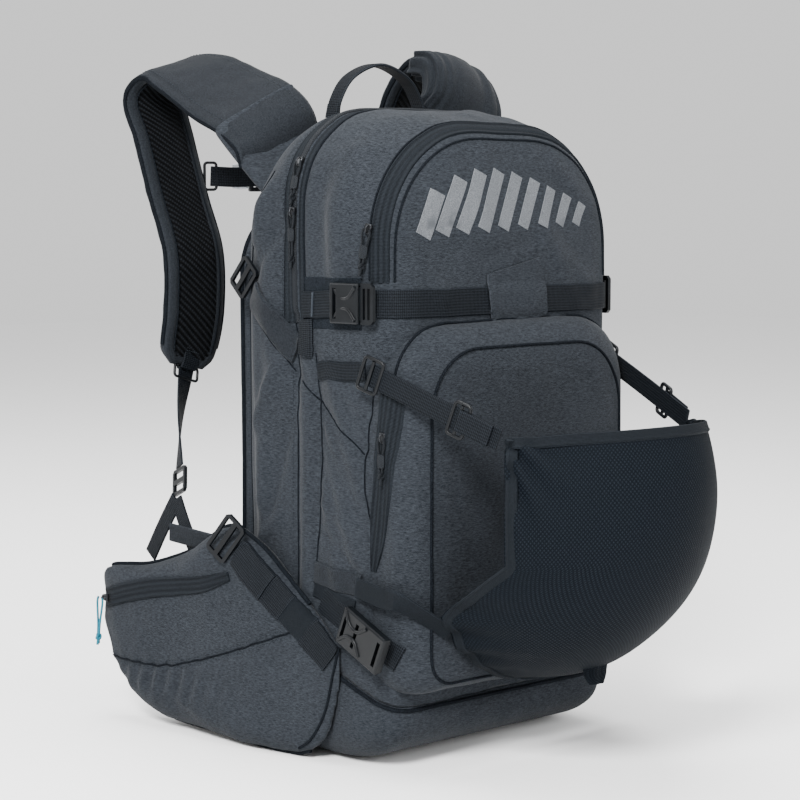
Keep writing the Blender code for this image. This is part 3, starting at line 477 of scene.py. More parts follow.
class Shader:
    """A Principled material and short ways to wire nodes into it."""

    def __init__(self, name, roughness=0.8, sheen=0.0, metallic=0.0, specular=0.5):
        self.material = bpy.data.materials.new(name)
        self.material.use_nodes = True
        self.tree = self.material.node_tree
        self.shader = self.tree.nodes["Principled BSDF"]
        self.set(self.shader, {
            "Roughness": roughness,
            "Sheen Weight": sheen,
            "Sheen Roughness": 0.4,
            "Metallic": metallic,
            "Specular IOR Level": specular,
        })
        self.coords = self.tree.nodes.new("ShaderNodeTexCoord")

    def set(self, node, inputs):
        for key, value in inputs.items():
            if isinstance(value, bpy.types.NodeSocket):
                self.tree.links.new(value, node.inputs[key])
            else:
                node.inputs[key].default_value = value

    def put(self, kind, inputs, **settings):
        node = self.tree.nodes.new("ShaderNode" + kind)
        for key, value in settings.items():
            setattr(node, key, value)
        self.set(node, inputs)
        return node

    def math(self, operation, first, second=0.0):
        return self.put("Math", {0: first, 1: second}, operation=operation).outputs[0]

    def add(self, first, second):
        return self.math("ADD", first, second)

    def less(self, first, second):
        return self.math("SUBTRACT", first, second)

    def times(self, first, second):
        return self.math("MULTIPLY", first, second)

    def noise(self, scale, detail=2.0, shift=0.0):
        """Noise with scale waves in a metre, one number or one for each axis."""
        place = self.put("Mapping", {
            "Vector": self.coords.outputs["Object"],
            "Scale": scale if isinstance(scale, (tuple, list)) else (scale,) * 3,
            "Location": (shift,) * 3,
        })
        inputs = {"Vector": place.outputs[0], "Scale": 1.0, "Detail": detail}
        return self.put("TexNoise", inputs).outputs["Fac"]

    def ramp(self, factor, stops):
        node = self.put("ValToRGB", {"Fac": factor})
        elements = node.color_ramp.elements
        while len(elements) < len(stops):
            elements.new(0.5)
        for element, (position, colour) in zip(elements, stops):
            element.position = position
            element.color = (*colour, 1.0)
        return node.outputs["Color"]

    def mix(self, factor, first, second, blend="MIX"):
        node = self.put("Mix", {"Factor": factor}, data_type="RGBA", blend_type=blend)
        self.set(node, {6: first if hasattr(first, "name") else (*first, 1.0)})
        self.set(node, {7: second if hasattr(second, "name") else (*second, 1.0)})
        return node.outputs[2]

    def uv(self):
        split = self.put("SeparateXYZ", {"Vector": self.coords.outputs["UV"]})
        return split.outputs[0], split.outputs[1]

    def stripes(self, value, pitch):
        """A wave from 0 to 1 along a length in metres."""
        wave = self.math("SINE", self.times(value, 2 * math.pi / pitch))
        return self.add(self.times(wave, 0.5), 0.5)

    def finish(self, colour, height, distance, strength, roughness=None):
        self.set(self.shader, {"Base Color": colour})
        bump = self.put("Bump", {"Height": height, "Distance": distance, "Strength": strength})
        self.set(self.shader, {"Normal": bump.outputs[0]})
        if roughness is not None:
            self.set(self.shader, {"Roughness": roughness})
        return self.material


def edge_wear_and_highlight(s, colour, amount=0.35, gain=1.6):
    """Paler fibres along edges that stand out: wear on cloth; on moulded plastic and metal the paler edge is
    a painted highlight.
    """
    point = s.put("NewGeometry", {}).outputs["Pointiness"]
    edge = s.times(s.math("GREATER_THAN", point, 0.56), amount)
    pale = s.mix(1.0, colour, (gain,) * 3, "MULTIPLY")
    return s.mix(edge, colour, pale)


def heather(name, dark, light, streak=(270, 270, 1050)):
    """Melange cloth: pale threads lying along the weave over dark ones."""
    s = Shader(name, roughness=0.88, sheen=0.04, specular=0.06)
    long_threads = s.noise(streak, 3.0)
    short_threads = s.noise([c * 2.6 for c in streak], shift=3.0)
    cloud = s.noise(9, shift=7.0)
    threads = s.add(s.times(long_threads, 0.6), s.times(short_threads, 0.4))
    threads = s.add(threads, s.times(cloud, 0.10))
    middle = [(a + b) / 2 for a, b in zip(dark, light)]
    colour = s.ramp(threads, [(0.38, dark), (0.56, middle), (0.74, light)])
    weave = s.add(short_threads, s.noise(1500, 1.0, shift=1.0))
    return s.finish(edge_wear_and_highlight(s, colour), weave, 0.0005, 0.5)


def plain_cloth(name, dark, light, grain=900):
    s = Shader(name, roughness=0.85, specular=0.04)
    fibres = s.noise(grain)
    colour = s.ramp(fibres, [(0.35, dark), (0.65, light)])
    return s.finish(edge_wear_and_highlight(s, colour), fibres, 0.0004, 0.5)


def ribbed(name, dark, light, pitch, across=0.0026, rough=0.62):
    """Woven webbing: ribs across its run, finer lines along it."""
    s = Shader(name, roughness=rough, specular=0.06)
    u, v = s.uv()
    height = s.add(s.times(s.stripes(u, pitch), 0.7), s.times(s.stripes(v, across), 0.45))
    shade = s.add(s.times(height, 0.55), s.times(s.noise(700), 0.5))
    colour = s.ramp(shade, [(0.35, dark), (0.85, light)])
    return s.finish(edge_wear_and_highlight(s, colour), height, 0.0006, 0.7)


def air_mesh(name, dark, light, pitch=0.0052):
    """Spacer mesh: slanting ribs with rows of open holes."""
    s = Shader(name, roughness=0.75, specular=0.06)
    u, v = s.uv()
    ribs = s.stripes(s.add(s.times(u, 0.80), s.times(v, 0.60)), pitch)
    holes = s.stripes(s.less(s.times(v, 0.80), s.times(u, 0.60)), pitch * 0.55)
    height = s.add(ribs, s.times(s.times(holes, ribs), 0.5))
    colour = s.ramp(height, [(0.25, dark), (1.0, light)])
    return s.finish(colour, height, 0.0014, 0.9)


def crossed(s, pitch):
    """Two sets of stripes at right angles, both slanting."""
    u, v = s.uv()
    return s.stripes(s.add(u, v), pitch), s.stripes(s.less(u, v), pitch)


def net_cloth(name, dark, light):
    """Close knitted net with rows of small openings."""
    s = Shader(name, roughness=0.7, specular=0.05)
    cells = s.times(*crossed(s, 0.0042))
    shade = s.add(cells, s.times(s.noise(500), 0.35))
    return s.finish(s.ramp(shade, [(0.15, dark), (1.0, light)]), cells, 0.0006, 0.8)


def moulded(name, colour, rough=0.38, metallic=0.0, grain=1600):
    """Moulded plastic or cast metal: fine grit, a faint smear, and a painted highlight along its edges."""
    s = Shader(name, roughness=rough, metallic=metallic, specular=0.16)
    grit = s.noise(grain)
    smear = s.noise(60, 3.0, shift=5.0)
    tone = s.ramp(smear, [(0.3, colour), (0.7, [c * 1.5 for c in colour])])
    wear = s.add(rough - 0.10, s.times(smear, 0.25))
    # The paler edges added here are a painted highlight, not wear.
    return s.finish(edge_wear_and_highlight(s, tone, 0.25, 1.8), grit, 0.00012, 0.4, wear)


def braided(name, dark, light):
    s = Shader(name, roughness=0.55, specular=0.10)
    height = s.math("MAXIMUM", *crossed(s, 0.0022))
    colour = s.ramp(height, [(0.2, dark), (0.9, light)])
    return s.finish(colour, height, 0.0003, 0.7)


def reflective(name):
    """Grey film of glass beads, rubbed thin in places."""
    s = Shader(name, roughness=0.55, specular=0.5)
    beads = s.noise(1300, 1.0)
    film = s.ramp(beads, [(0.35, (0.030, 0.034, 0.040)), (0.68, (0.088, 0.095, 0.104))])
    rubbed = s.ramp(s.noise(45, 4.0, shift=2.0), [(0.58, (0, 0, 0)), (0.72, (1, 1, 1))])
    return s.finish(s.mix(rubbed, film, (0.025, 0.029, 0.035)), beads, 0.0002, 0.4)


def pale_plastic(name):
    s = Shader(name, roughness=0.3, specular=0.5)
    s.set(s.shader, {"Transmission Weight": 0.55, "IOR": 1.45})
    cloud = s.noise(120)
    colour = s.ramp(cloud, [(0.3, (0.66, 0.69, 0.73)), (0.7, (0.80, 0.82, 0.85))])
    return s.finish(colour, cloud, 0.0002, 0.2)


DARK_SEAM = (0.0012, 0.0017, 0.0025)
DARK_CLOTH = (0.0025, 0.0034, 0.0048)
DARK_TAPE = (0.0025, 0.0034, 0.0046)
MATERIALS = {
    "heather": heather("heather_fabric", (0.0045, 0.0056, 0.0074), (0.0255, 0.0295, 0.0355)),
    "heather_strap": heather("heather_strap", (0.0030, 0.0037, 0.0049), (0.0160, 0.0187, 0.0226), (800,) * 3),
    "dark": plain_cloth("dark_fabric", DARK_CLOTH, (0.0100, 0.0125, 0.0160)),
    "seam": plain_cloth("seam_binding", DARK_SEAM, (0.0050, 0.0064, 0.0085)),
    "webbing": ribbed("webbing", DARK_SEAM, (0.0085, 0.0105, 0.0135), 0.0017),
    "tape": ribbed("zip_tape", DARK_TAPE, (0.0115, 0.0140, 0.0175), 0.0012, 0.0050, 0.8),
    "smooth_tape": ribbed("smooth_tape", DARK_TAPE, (0.0085, 0.0108, 0.0140), 0.0008, 0.0011, 0.7),
    "mesh": air_mesh("padded_mesh", (0.0004, 0.0005, 0.0007), (0.0056, 0.0066, 0.0082)),
    "net": net_cloth("net_fabric", (0.0009, 0.0018, 0.0032), (0.0058, 0.0082, 0.0115)),
    "plastic": moulded("buckle_plastic", (0.0018, 0.0023, 0.0030)),
    "metal": moulded("slider_metal", (0.018, 0.019, 0.021), 0.32, 0.85, 700),
    "cord": braided("cord", (0.0010, 0.0014, 0.0020), (0.0080, 0.0098, 0.0125)),
    "accent": braided("accent_cord", (0.006, 0.055, 0.085), (0.020, 0.170, 0.240)),
    "thread": plain_cloth("thread", (0.0100, 0.0125, 0.0160), (0.0320, 0.0375, 0.0450), 2500),
    "reflective": reflective("reflective_print"),
    "pale": pale_plastic("pale_plastic"),
    "pale_mesh": air_mesh("pale_mesh", (0.045, 0.048, 0.052), (0.130, 0.137, 0.146), 0.0026),
    "lining": plain_cloth("lining", (0.075, 0.080, 0.086), (0.150, 0.157, 0.165), 500),
    "foam": plain_cloth("foam", (0.040, 0.042, 0.046), (0.070, 0.074, 0.080), 400),
}


# Pack body

def upright(y, points, count):
    """An outline as a ring of evenly spaced points in the upright plane at y."""
    ring = closed_even(points, count)
    return np.column_stack([ring[:, 0], np.full(count, y), ring[:, 1]])


def body_ring(row, count):
    y, inset, drop, rise, radius = row
    low_radius = max(BASE_RADIUS - inset, 0.004)
    return upright(y, outline(HALF_WIDTH - inset, rise, HEIGHT - drop - inset, low_radius, radius), count)


def cap_rows(ring, steps, crown, spine):
    """Rings from the edge of an end face in to a line up its middle."""
    low, high = ring[:, 2].min() + spine, ring[:, 2].max() - spine
    target = np.column_stack([np.zeros(len(ring)), ring[:, 1], np.clip(ring[:, 2], low, high)])
    rows = []
    for step in range(1, steps + 1):
        t = step / steps
        row = ring + (target - ring) * t
        row[:, 1] += crown * (1 - (1 - t) ** 2)
        rows.append(row)
    return rows


def lofted(name, rows):
    points = np.vstack(rows)
    obj = mesh_object(name, points, grid_faces(len(rows), len(rows[0]), True))
    tidy_mesh(obj, 0.0002)
    return obj


def table_row(y):
    table = np.array(SECTIONS)
    return [y] + [float(np.interp(y, table[:, 0], table[:, k])) for k in range(1, 5)]


def arch(y, low):
    """The body's outline at y, from the left side at height low, over the top, to the right."""
    ring = body_ring(table_row(y), 400)
    above = ring[ring[:, 2] >= low]
    order = np.argsort(np.unwrap(np.arctan2(above[:, 0], above[:, 2] - 0.3)))
    return above[order]


def base_seam():
    """The seam round the base: level at the rear, falling towards the front."""
    ys = np.linspace(0.094, -0.1178, 60)
    left = [(table_row(y)[1] - HALF_WIDTH, y, SEAM_Z + min(0.0, SEAM_SLOPE * y)) for y in ys]
    x_front, *front = left[-1]
    middle = [(x, *front) for x in np.linspace(x_front, -x_front, 50)[1:-1]]
    right = [(-x, y, z) for x, y, z in reversed(left)]
    return even(np.array(left + middle + right), 0.004)


def side_line(side, points, x=HALF_WIDTH, spacing=0.004):
    """A smooth line on the pack's side, given as y and z."""
    return smooth([(side * x, y, z) for y, z in points], spacing)


# Seams on each side of the pack, as y and z, and the body that each rides on
SIDE_SEAMS = {
    "zip_foot": ("pack", (
        (0.006, 0.400), (0.002, 0.360), (0.0015, 0.300), (0.003, 0.240), (0.003, 0.180), (0.002, 0.108))),
    "band_front": ("front_panel", (
        (-0.024, 0.370), (-0.030, 0.327), (-0.031, 0.285), (-0.027, 0.211), (-0.020, 0.160))),
    "slant_rear": ("pack", ((0.058, 0.400), (0.030, 0.374), (0.004, 0.351))),
    "slant_front": ("front_panel", ((-0.004, 0.344), (-0.032, 0.325), (-0.060, 0.304), (-0.090, 0.284))),
    "pocket_edge": ("front_panel", (
        (-0.101, 0.362), (-0.096, 0.325), (-0.090, 0.285), (-0.092, 0.230), (-0.099, 0.180))),
    "rear_edge": ("pack", (
        (0.050, 0.540), (0.070, 0.480), (0.082, 0.413), (0.086, 0.310), (0.086, 0.200), (0.084, 0.125))),
}
# Soft folds on each side of the pack: y and z of the ends, width, and height before FOLD_GAIN
FOLD_GAIN = 1.9
SIDE_FOLDS = (
    ((0.050, 0.500), (0.030, 0.340), 0.016, 0.0030),
    ((0.066, 0.400), (0.050, 0.230), 0.012, 0.0022),
    ((0.040, 0.330), (0.060, 0.140), 0.010, 0.0018),
    ((-0.040, 0.300), (-0.078, 0.190), 0.008, 0.0020),
    ((-0.050, 0.340), (-0.085, 0.250), 0.010, 0.0024),
    ((-0.014, 0.330), (-0.010, 0.140), 0.008, 0.0020),
    ((-0.035, 0.250), (-0.060, 0.150), 0.007, 0.0014),
    ((-0.060, 0.540), (-0.050, 0.440), 0.018, 0.0026),
    ((-0.030, 0.520), (-0.040, 0.430), 0.014, -0.0018),
    ((0.020, 0.360), (0.060, 0.300), 0.007, 0.0022),
    ((0.012, 0.300), (0.040, 0.225), 0.006, -0.0020),
    ((0.030, 0.215), (0.066, 0.180), 0.006, 0.0018),
    ((-0.036, 0.300), (-0.058, 0.255), 0.0045, -0.0020),
    ((-0.034, 0.235), (-0.072, 0.215), 0.0045, 0.0018),
    ((-0.040, 0.205), (-0.080, 0.175), 0.0045, -0.0018),
    ((-0.045, 0.350), (-0.085, 0.325), 0.0050, 0.0018),
    ((0.040, 0.520), (0.062, 0.470), 0.008, 0.0026),
    ((0.028, 0.480), (0.060, 0.440), 0.007, -0.0022),
)
FRONT_FOLDS = (
    ((-0.060, -0.118, 0.520), (-0.020, -0.118, 0.470), 0.016, 0.0016),
    ((0.050, -0.118, 0.470), (0.105, -0.118, 0.425), 0.012, 0.0030),
    ((0.060, -0.118, 0.450), (0.090, -0.118, 0.410), 0.009, 0.0024),
    ((-0.105, -0.116, 0.450), (-0.080, -0.118, 0.420), 0.009, 0.0022),
    ((0.060, -0.118, 0.540), (0.110, -0.114, 0.500), 0.010, 0.0020),
    ((-0.030, -0.118, 0.455), (0.030, -0.118, 0.470), 0.008, -0.0014),
    ((-0.120, -0.085, 0.560), (-0.126, -0.040, 0.545), 0.010, 0.0020),
    ((0.000, -0.060, 0.586), (0.060, -0.010, 0.590), 0.012, 0.0022),
)


def straight(a, b, spacing=0.006):
    return even(np.array([a, b], float), spacing)


def body_field(points):
    """Pillowed panels, grooves along the seams and soft folds."""
    amount = 0.0016 * ripple(points, (9, 9, 7)) + 0.0014 * ripple(points, (40, 40, 14), 4.0)
    amount += 0.0040 * gauss(points, (0.0, -0.118, 0.470), (0.090, 0.020, 0.060))
    for side in (-1, 1):
        amount += 0.0030 * gauss(points, (side * HALF_WIDTH, 0.045, 0.300), (0.03, 0.030, 0.150))
        amount += 0.0030 * gauss(points, (side * HALF_WIDTH, -0.050, 0.490), (0.03, 0.035, 0.060))
        for _, seam in SIDE_SEAMS.values():
            amount -= 0.0022 * near(points, side_line(side, seam), 0.0055)
        for a, b, width, height in SIDE_FOLDS:
            line = straight((side * HALF_WIDTH, *a), (side * HALF_WIDTH, *b))
            amount += FOLD_GAIN * height * near(points, line, width)
    for a, b, width, height in FRONT_FOLDS:
        amount += height * near(points, straight(a, b), width)
    for y in (0.018, -0.006, -0.1035):
        amount -= 0.0020 * near(points, arch(y, 0.40), 0.006)
    slider_track = side_line(-1, [(SLIDER_Y, z) for z in (0.40, 0.36, 0.325)])
    amount -= 0.0018 * near(points, slider_track, 0.007)
    amount -= 0.0030 * near(points, base_seam(), 0.006)
    floor = np.clip((points[:, 2] - 0.012) / 0.03, 0.0, 1.0)
    return amount * floor


def make_body():
    """The whole pack body as one skin, before it is cut along its zip and base seam."""
    rings = [body_ring(row, 360) for row in smooth(SECTIONS, 0.004)]
    rows = cap_rows(rings[0], 34, -0.002, 0.12)[::-1] + rings + cap_rows(rings[-1], 20, 0.0, 0.12)
    body = lofted("pack_body", rows)
    displace(body, body_field)
    return body


def cut_skin(source, name, planes, node, body):
    """The stretch of skin on the kept side of every plane, given as point and outward normal."""
    bm = bmesh.new()
    bm.from_mesh(source.data)
    for place, direction in planes:
        everything = list(bm.verts) + list(bm.edges) + list(bm.faces)
        bmesh.ops.bisect_plane(bm, geom=everything, plane_co=place, plane_no=direction, clear_outer=True)
    mesh = bpy.data.meshes.new(name)
    bm.to_mesh(mesh)
    bm.free()
    obj = bpy.data.objects.new(name, mesh)
    bpy.context.scene.collection.objects.link(obj)
    add_modifier(obj, "SOLIDIFY", thickness=SHELL, offset=-1.0, material_offset=1)
    finish_piece(obj, ["heather", "lining"], body, sharp=0)
    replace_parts(obj, node)
    return obj


def make_shells(body):
    """The skin in three pieces, a hair apart: rear, front and base."""
    gap = 0.0004
    slope = Vector((0.0, SEAM_SLOPE, -1.0)).normalized()
    high, low = Vector((0.0, 0.0, SEAM_Z + gap)), Vector((0.0, 0.0, SEAM_Z - gap))
    rear = [((0, ZIP_Y + gap, 0), (0, -1, 0)), (high, (0, 0, -1))]
    front = [((0, ZIP_Y - gap, 0), (0, 1, 0)), (high, slope)]
    cut_skin(body, "rear_panel_skin", rear, "rear_shell", "pack")
    cut_skin(body, "front_panel_skin", front, "front_compartment", "front_panel")
    cut_skin(body, "base_skin", [(low, (0, 0, 1)), (low, -slope)], "base_panel", "pack")


POCKET_FOLDS = (((-0.110, 0.330), (-0.135, 0.150), 0.0024), ((-0.125, 0.200), (-0.105, 0.120), 0.0020))


def pocket_field(points):
    amount = 0.0018 * ripple(points, (12, 12, 9), 2.0) + 0.0010 * ripple(points, (40, 40, 20), 5.0)
    for side in (-1, 1):
        for a, b, height in POCKET_FOLDS:
            line = straight((side * POCKET_HALF_WIDTH, *a), (side * POCKET_HALF_WIDTH, *b))
            amount += height * near(points, line, 0.010)
    return amount


def pocket_ring(y, inset):
    low, high = POCKET_Z[0] + inset / 2, POCKET_Z[1] - inset
    return upright(y, outline(POCKET_HALF_WIDTH - inset, low, high, *POCKET_RADII), 320)


def make_pocket():
    rings = [pocket_ring(y, inset) for y, inset in smooth(POCKET_SECTIONS, 0.0035)]
    obj = lofted("front_pocket_skin", rings + cap_rows(rings[-1], 34, -0.002, 0.11))
    displace(obj, pocket_field)
    finish_piece(obj, "heather", "front_panel", sharp=0)
    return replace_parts(obj, "front_pocket")


# Zips

def band(name, path, surface, body, width, beads=(), thickness=0.0010, material="tape"):
    return sweep(name, path, flat_section(width, thickness, 6, beads), material, body, surface=surface)


def make_main_zip(surface):
    """Tape halves over the parting line, the closed coil and the corded edges."""
    low = 0.392
    beads = [(-0.0060, 0.0014, 0.0010), (0.0060, 0.0012, 0.0008)]
    band("main_zip_tape_rear", arch(0.0105, low), surface, "pack", 0.0150, beads)
    band("main_zip_tape_front", arch(-0.0048, low), surface, "front_panel", 0.0070, [(0.0, 0.0014, 0.0008)])
    band("main_zip_coil", arch(SLIDER_Y, low), surface, "pack", 0.0052, [(0.0, 0.0016, 0.0008)], 0.0014,
         "cord")
    for label, y, body in (("rear", 0.0186, "pack"), ("front", -0.0090, "front_panel")):
        piping(f"main_zip_cord_{label}", arch(y, low), body, surface, 0.0011)
    stitches("main_zip_stitches", [arch(0.0213, low), arch(0.0162, low)], "pack", surface, lift=0.0012)


def make_front_zip(surface):
    """The arched zip of the front compartment, round the body's front corner."""
    y, low, cord_shift = -0.1030, 0.432, 0.0098 * 0.98
    beads = [(-0.0078, 0.0012, 0.0009), (0.0, 0.0018, 0.0011), (0.0078, 0.0012, 0.0009)]
    band("front_zip_tape", arch(y, low), surface, "front_panel", 0.0180, beads)
    for label, shift in (("outer", cord_shift), ("inner", -cord_shift)):
        piping(f"front_zip_cord_{label}", arch(y + shift, low), "front_panel", surface, 0.0011)


# The pocket's side zips: y, z and width of the band
POCKET_ZIP = (
    (-0.1220, 0.345, 0.027),
    (-0.1140, 0.290, 0.029),
    (-0.1085, 0.245, 0.025),
    (-0.1030, 0.208, 0.018),
    (-0.0985, 0.180, 0.006),
)


def make_pocket_zips(surface):
    """The tapered zip bands on the pocket's sides, and the cord along its front edge."""
    width = 0.022
    beads = [(-0.0096, 0.0012, 0.0010), (0.0096, 0.0012, 0.0010), (0.0, 0.002, 0.0009)]
    for side_name, side in SIDES.items():
        rows = smooth([(side * POCKET_HALF_WIDTH, y, z, w / width) for y, z, w in POCKET_ZIP])
        sweep(f"pocket_zip_tape_{side_name}", rows[:, :3], flat_section(width, 0.0010, 6, beads), "tape",
              "front_panel", surface=surface, scale=rows[:, 3])
    ring = pocket_ring(-0.1466, 0.0235)
    piping("pocket_edge_cord", even(np.vstack([ring, ring[:1]]), 0.004), "front_panel", surface, 0.0014)
    ring = pocket_ring(-0.1215, 0.002)
    over = ring[ring[:, 2] > 0.338]
    over = over[np.argsort(over[:, 0])]
    piping("pocket_lid_cord", even(over, 0.004), "front_panel", surface, 0.0013)


def make_side_seams(surface):
    for name, (body, points) in SIDE_SEAMS.items():
        for side_name, side in SIDES.items():
            piping(f"seam_{name}_{side_name}", side_line(side, points), body, surface, 0.0007)
    for side_name, side in SIDES.items():
        rows = [side_line(side, [(y + 0.006, z) for y, z in SIDE_SEAMS["zip_foot"][1]])]
        stitches(f"side_stitches_{side_name}", rows, "pack", surface)


def make_base_seam(surface):
    """The thick binding over the seam round the base."""
    line = base_seam() - (0, 0, 0.0022)
    x, y = line[:, 0], line[:, 1]
    piping("base_binding", line[y < 0.0], "pack", surface, 0.0020)
    for side_name, side in SIDES.items():
        rear = line[(x * side > 0) & (y >= -0.002) & (y < 0.090)]
        piping(f"base_binding_{side_name}", rear, "pack", surface, 0.0020)


# Webbing and side details

def webbing(name, points, width, body, normal=None, surface=None, thickness=0.0016, material="webbing",
            lift=0.0, spacing=0.004):
    """A flat strap along a smooth line, on a surface or with a normal of its own."""
    return sweep(name, smooth(points, spacing), flat_section(width, thickness), material, body,
                 normal=normal, surface=surface, lift=lift)


def bar_tack(name, centre, along, body, surface, width):
    """Short dense rows of thread across a strap."""
    normal = np.array(surface.find_nearest(Vector(centre))[1])
    across = unit(np.cross(along, normal)) * width * 0.42
    middles = [centre + along * shift for shift in (-0.0022, 0.0, 0.0022)]
    lines = [np.array([middle - across, middle + across]) for middle in middles]
    return stitches(name, lines, body, None, normal, 0.0024, 0.0005, 0.0)


def make_upper_strap(surface):
    """Webbing round the front, the ribbed stubs on the sides and the dark slots they come out of."""
    front = ((-0.1440, -0.0990), (-0.1385, -0.1060), (-0.1290, -0.1140), (-0.1145, -0.1190),
             (-0.0700, -0.1205), (0.0000, -0.1210))
    plan = [(x, y, UPPER_STRAP_Z) for x, y in front]
    plan += [(-x, y, z) for x, y, z in reversed(plan[:-1])]
    strap = webbing("front_webbing", plan, 0.025, "front_panel", surface=surface, lift=0.0006)
    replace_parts(strap, "upper_strap")
    for side_name, side in SIDES.items():
        patch = side_line(side, ((-0.008, 0.4145), (-0.045, 0.4150), (-0.086, 0.4155)))
        band(f"strap_slot_{side_name}", patch, surface, "front_panel", 0.046, (), 0.0007, "dark")
        stub = side_line(side, ((-0.009, 0.4120), (-0.030, 0.4130), (-0.054, 0.4150)))
        webbing(f"strap_stub_{side_name}", stub, 0.0245, "front_panel", surface=surface, thickness=0.0030,
                lift=0.0012)
        fold = straight((side * 0.1500, -0.0255, 0.4010), (side * 0.1500, -0.0255, 0.4255))
        sweep(f"strap_fold_{side_name}", fold, flat_section(0.0020, 0.0012), "thread", "front_panel",
              surface=surface, lift=0.0038)
        loop = side_line(side, ((-0.0135, 0.4000), (-0.0140, 0.3850), (-0.0120, 0.3660)))
        webbing(f"side_loop_{side_name}", loop, 0.0200, "front_panel", surface=surface, thickness=0.0030,
                lift=0.0012)


def make_sleeve_patch():
    """The cloth keeper over the middle of the front strap, with its stitched hem."""
    y, steps = -0.124, np.linspace(0.0, 1.0, 15)
    rows = np.stack([0.002 + 0.012 * steps, np.full(15, y), 0.4480 - 0.0540 * steps], axis=1)
    over = surface_of(bpy.data.objects["front_panel_skin"], bpy.data.objects["front_webbing"])
    keeper = sweep("strap_keeper", rows, flat_section(0.066, 0.0012, 12), "heather", "front_panel",
                   surface=over, scale=1.0 + 0.10 * np.sin(math.pi * steps), lift=0.0010)
    hem = (((-0.0300, 0.4445), (0.0330, 0.4445)), ((-0.0285, 0.4400), (-0.0225, 0.4000)),
           ((0.0350, 0.4400), (0.0430, 0.4000)))
    lines = [np.array([(x, y, z) for x, z in ends]) for ends in hem]
    stitches("strap_keeper_stitches", lines, "front_panel", surface_of(keeper))


def make_side_strap(side_name, surface):
    """The padded cloth strap that slants down from the ladder lock."""
    side = SIDES[side_name]
    path = side_line(side, ((0.064, 0.4225), (0.045, 0.4050), (0.0225, 0.3855), (0.002, 0.3700)))
    piece = webbing(f"side_strap_cloth_{side_name}", path, 0.0265, "pack", surface=surface, thickness=0.0030,
                    material="heather_strap", lift=0.0008)
    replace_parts(piece, f"side_strap_{side_name}")
    turned = side_line(side, ((0.0700, 0.4285), (0.0860, 0.4410)))
    webbing(f"side_strap_tail_{side_name}", turned, 0.0240, "pack", surface=surface, thickness=0.0026,
            lift=0.0040)
    rows = [path + (0, 0.0085, -0.0095), path + (0, -0.0080, 0.0090)]
    stitches(f"side_strap_stitches_{side_name}", rows, "pack", surface_of(piece))


def make_gear_strap(side_name, surface):
    """The short strap that carries the hook of the net's upper strap."""
    side = SIDES[side_name]
    path = side_line(side, ((-0.030, 0.3540), (-0.060, 0.3550), (-0.092, 0.3565)))
    webbing(f"hook_strap_{side_name}", path, 0.0170, "front_panel", surface=surface, thickness=0.0022,
            lift=0.0006)
    bar_tack(f"hook_strap_tack_{side_name}", path[2] + (side * 0.0035, 0, 0), np.array([0.0, -1.0, 0.0]),
             "front_panel", surface, 0.0170)


def make_lower_straps(side_name, surface):
    """The lower strap with its buckle, and the wide cloth tab above it."""
    side = SIDES[side_name]
    tab = side_line(side, ((-0.022, 0.1710), (-0.055, 0.1680), (-0.086, 0.1660)))
    webbing(f"lower_tab_{side_name}", tab, 0.0200, "front_panel", surface=surface, thickness=0.0022,
            material="heather_strap", lift=0.0004)
    dark = side_line(side, ((-0.022, 0.1560), (-0.055, 0.1500), (-0.078, 0.1450)))
    webbing(f"lower_band_{side_name}", dark, 0.0150, "front_panel", surface=surface, thickness=0.0016,
            material="smooth_tape", lift=0.0003)
    x = side * (HALF_WIDTH + 0.0012)
    line = [(x, -0.034, 0.1486), (x, -0.080, 0.1286), (x, -0.133, 0.1056)]
    piece = webbing(f"lower_webbing_{side_name}", line, 0.0250, "front_panel", surface=surface, lift=0.0008)
    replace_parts(piece, f"lower_strap_{side_name}")


# Rectangular loops, knots and pulls

def bars(name, lines, radius, resolution, material, body):
    """Round bars bent along lines of points, each given with whether it closes."""
    curve = bpy.data.curves.new(name, "CURVE")
    curve.dimensions = "3D"
    curve.bevel_depth = radius
    curve.bevel_resolution = resolution
    curve.use_fill_caps = True
    for places, closed in lines:
        spline = curve.splines.new("POLY")
        spline.points.add(len(places) - 1)
        for point, place in zip(spline.points, places):
            point.co = (*place, 1.0)
        spline.use_cyclic_u = closed
    obj = bpy.data.objects.new(name, curve)
    bpy.context.scene.collection.objects.link(obj)
    curve.materials.append(MATERIALS[material])
    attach(obj, body)
    return obj


def plastic_ring(name, points, radius, body):
    return bars(name, [(points, True)], radius, 3, "plastic", body)


def knot(name, centre, along, size, material, body):
    """An overhand knot with two short tails."""
    along = Vector(along).normalized()
    side = along.orthogonal().normalized()
    other = along.cross(side)
    turns = []
    for t in np.linspace(0, 2 * math.pi, 48, endpoint=False):
        a, b = math.sin(t) + 2 * math.sin(2 * t), math.cos(t) - 2 * math.cos(2 * t)
        turns.append(Vector(centre) + (side * a + other * b * 0.8) * size * 0.42
                     - along * math.sin(3 * t) * size * 0.8)
    lines = [(turns, True)]
    for way in (0.9, -0.9):
        tail = [Vector(centre) + along * size * k + side * way * size * (0.5 + 0.35 * k)
                for k in (0.3, 2.0, 3.6)]
        lines.append((tail, False))
    return bars(name, lines, size * 0.62, 2, material, body)


def cord_loop(name, hole, axis, across, spread, material, body):
    """Two strands from a slider's hole to the knot; spread says how far down and how far apart."""
    for label, way in (("a", 1), ("b", -1)):
        line = smooth([hole + axis * down + across * way * out for down, out in spread], 0.0025)
        strand = bars(f"{name}_{label}", [(line, False)], CORD_RADIUS, 2, material, body)


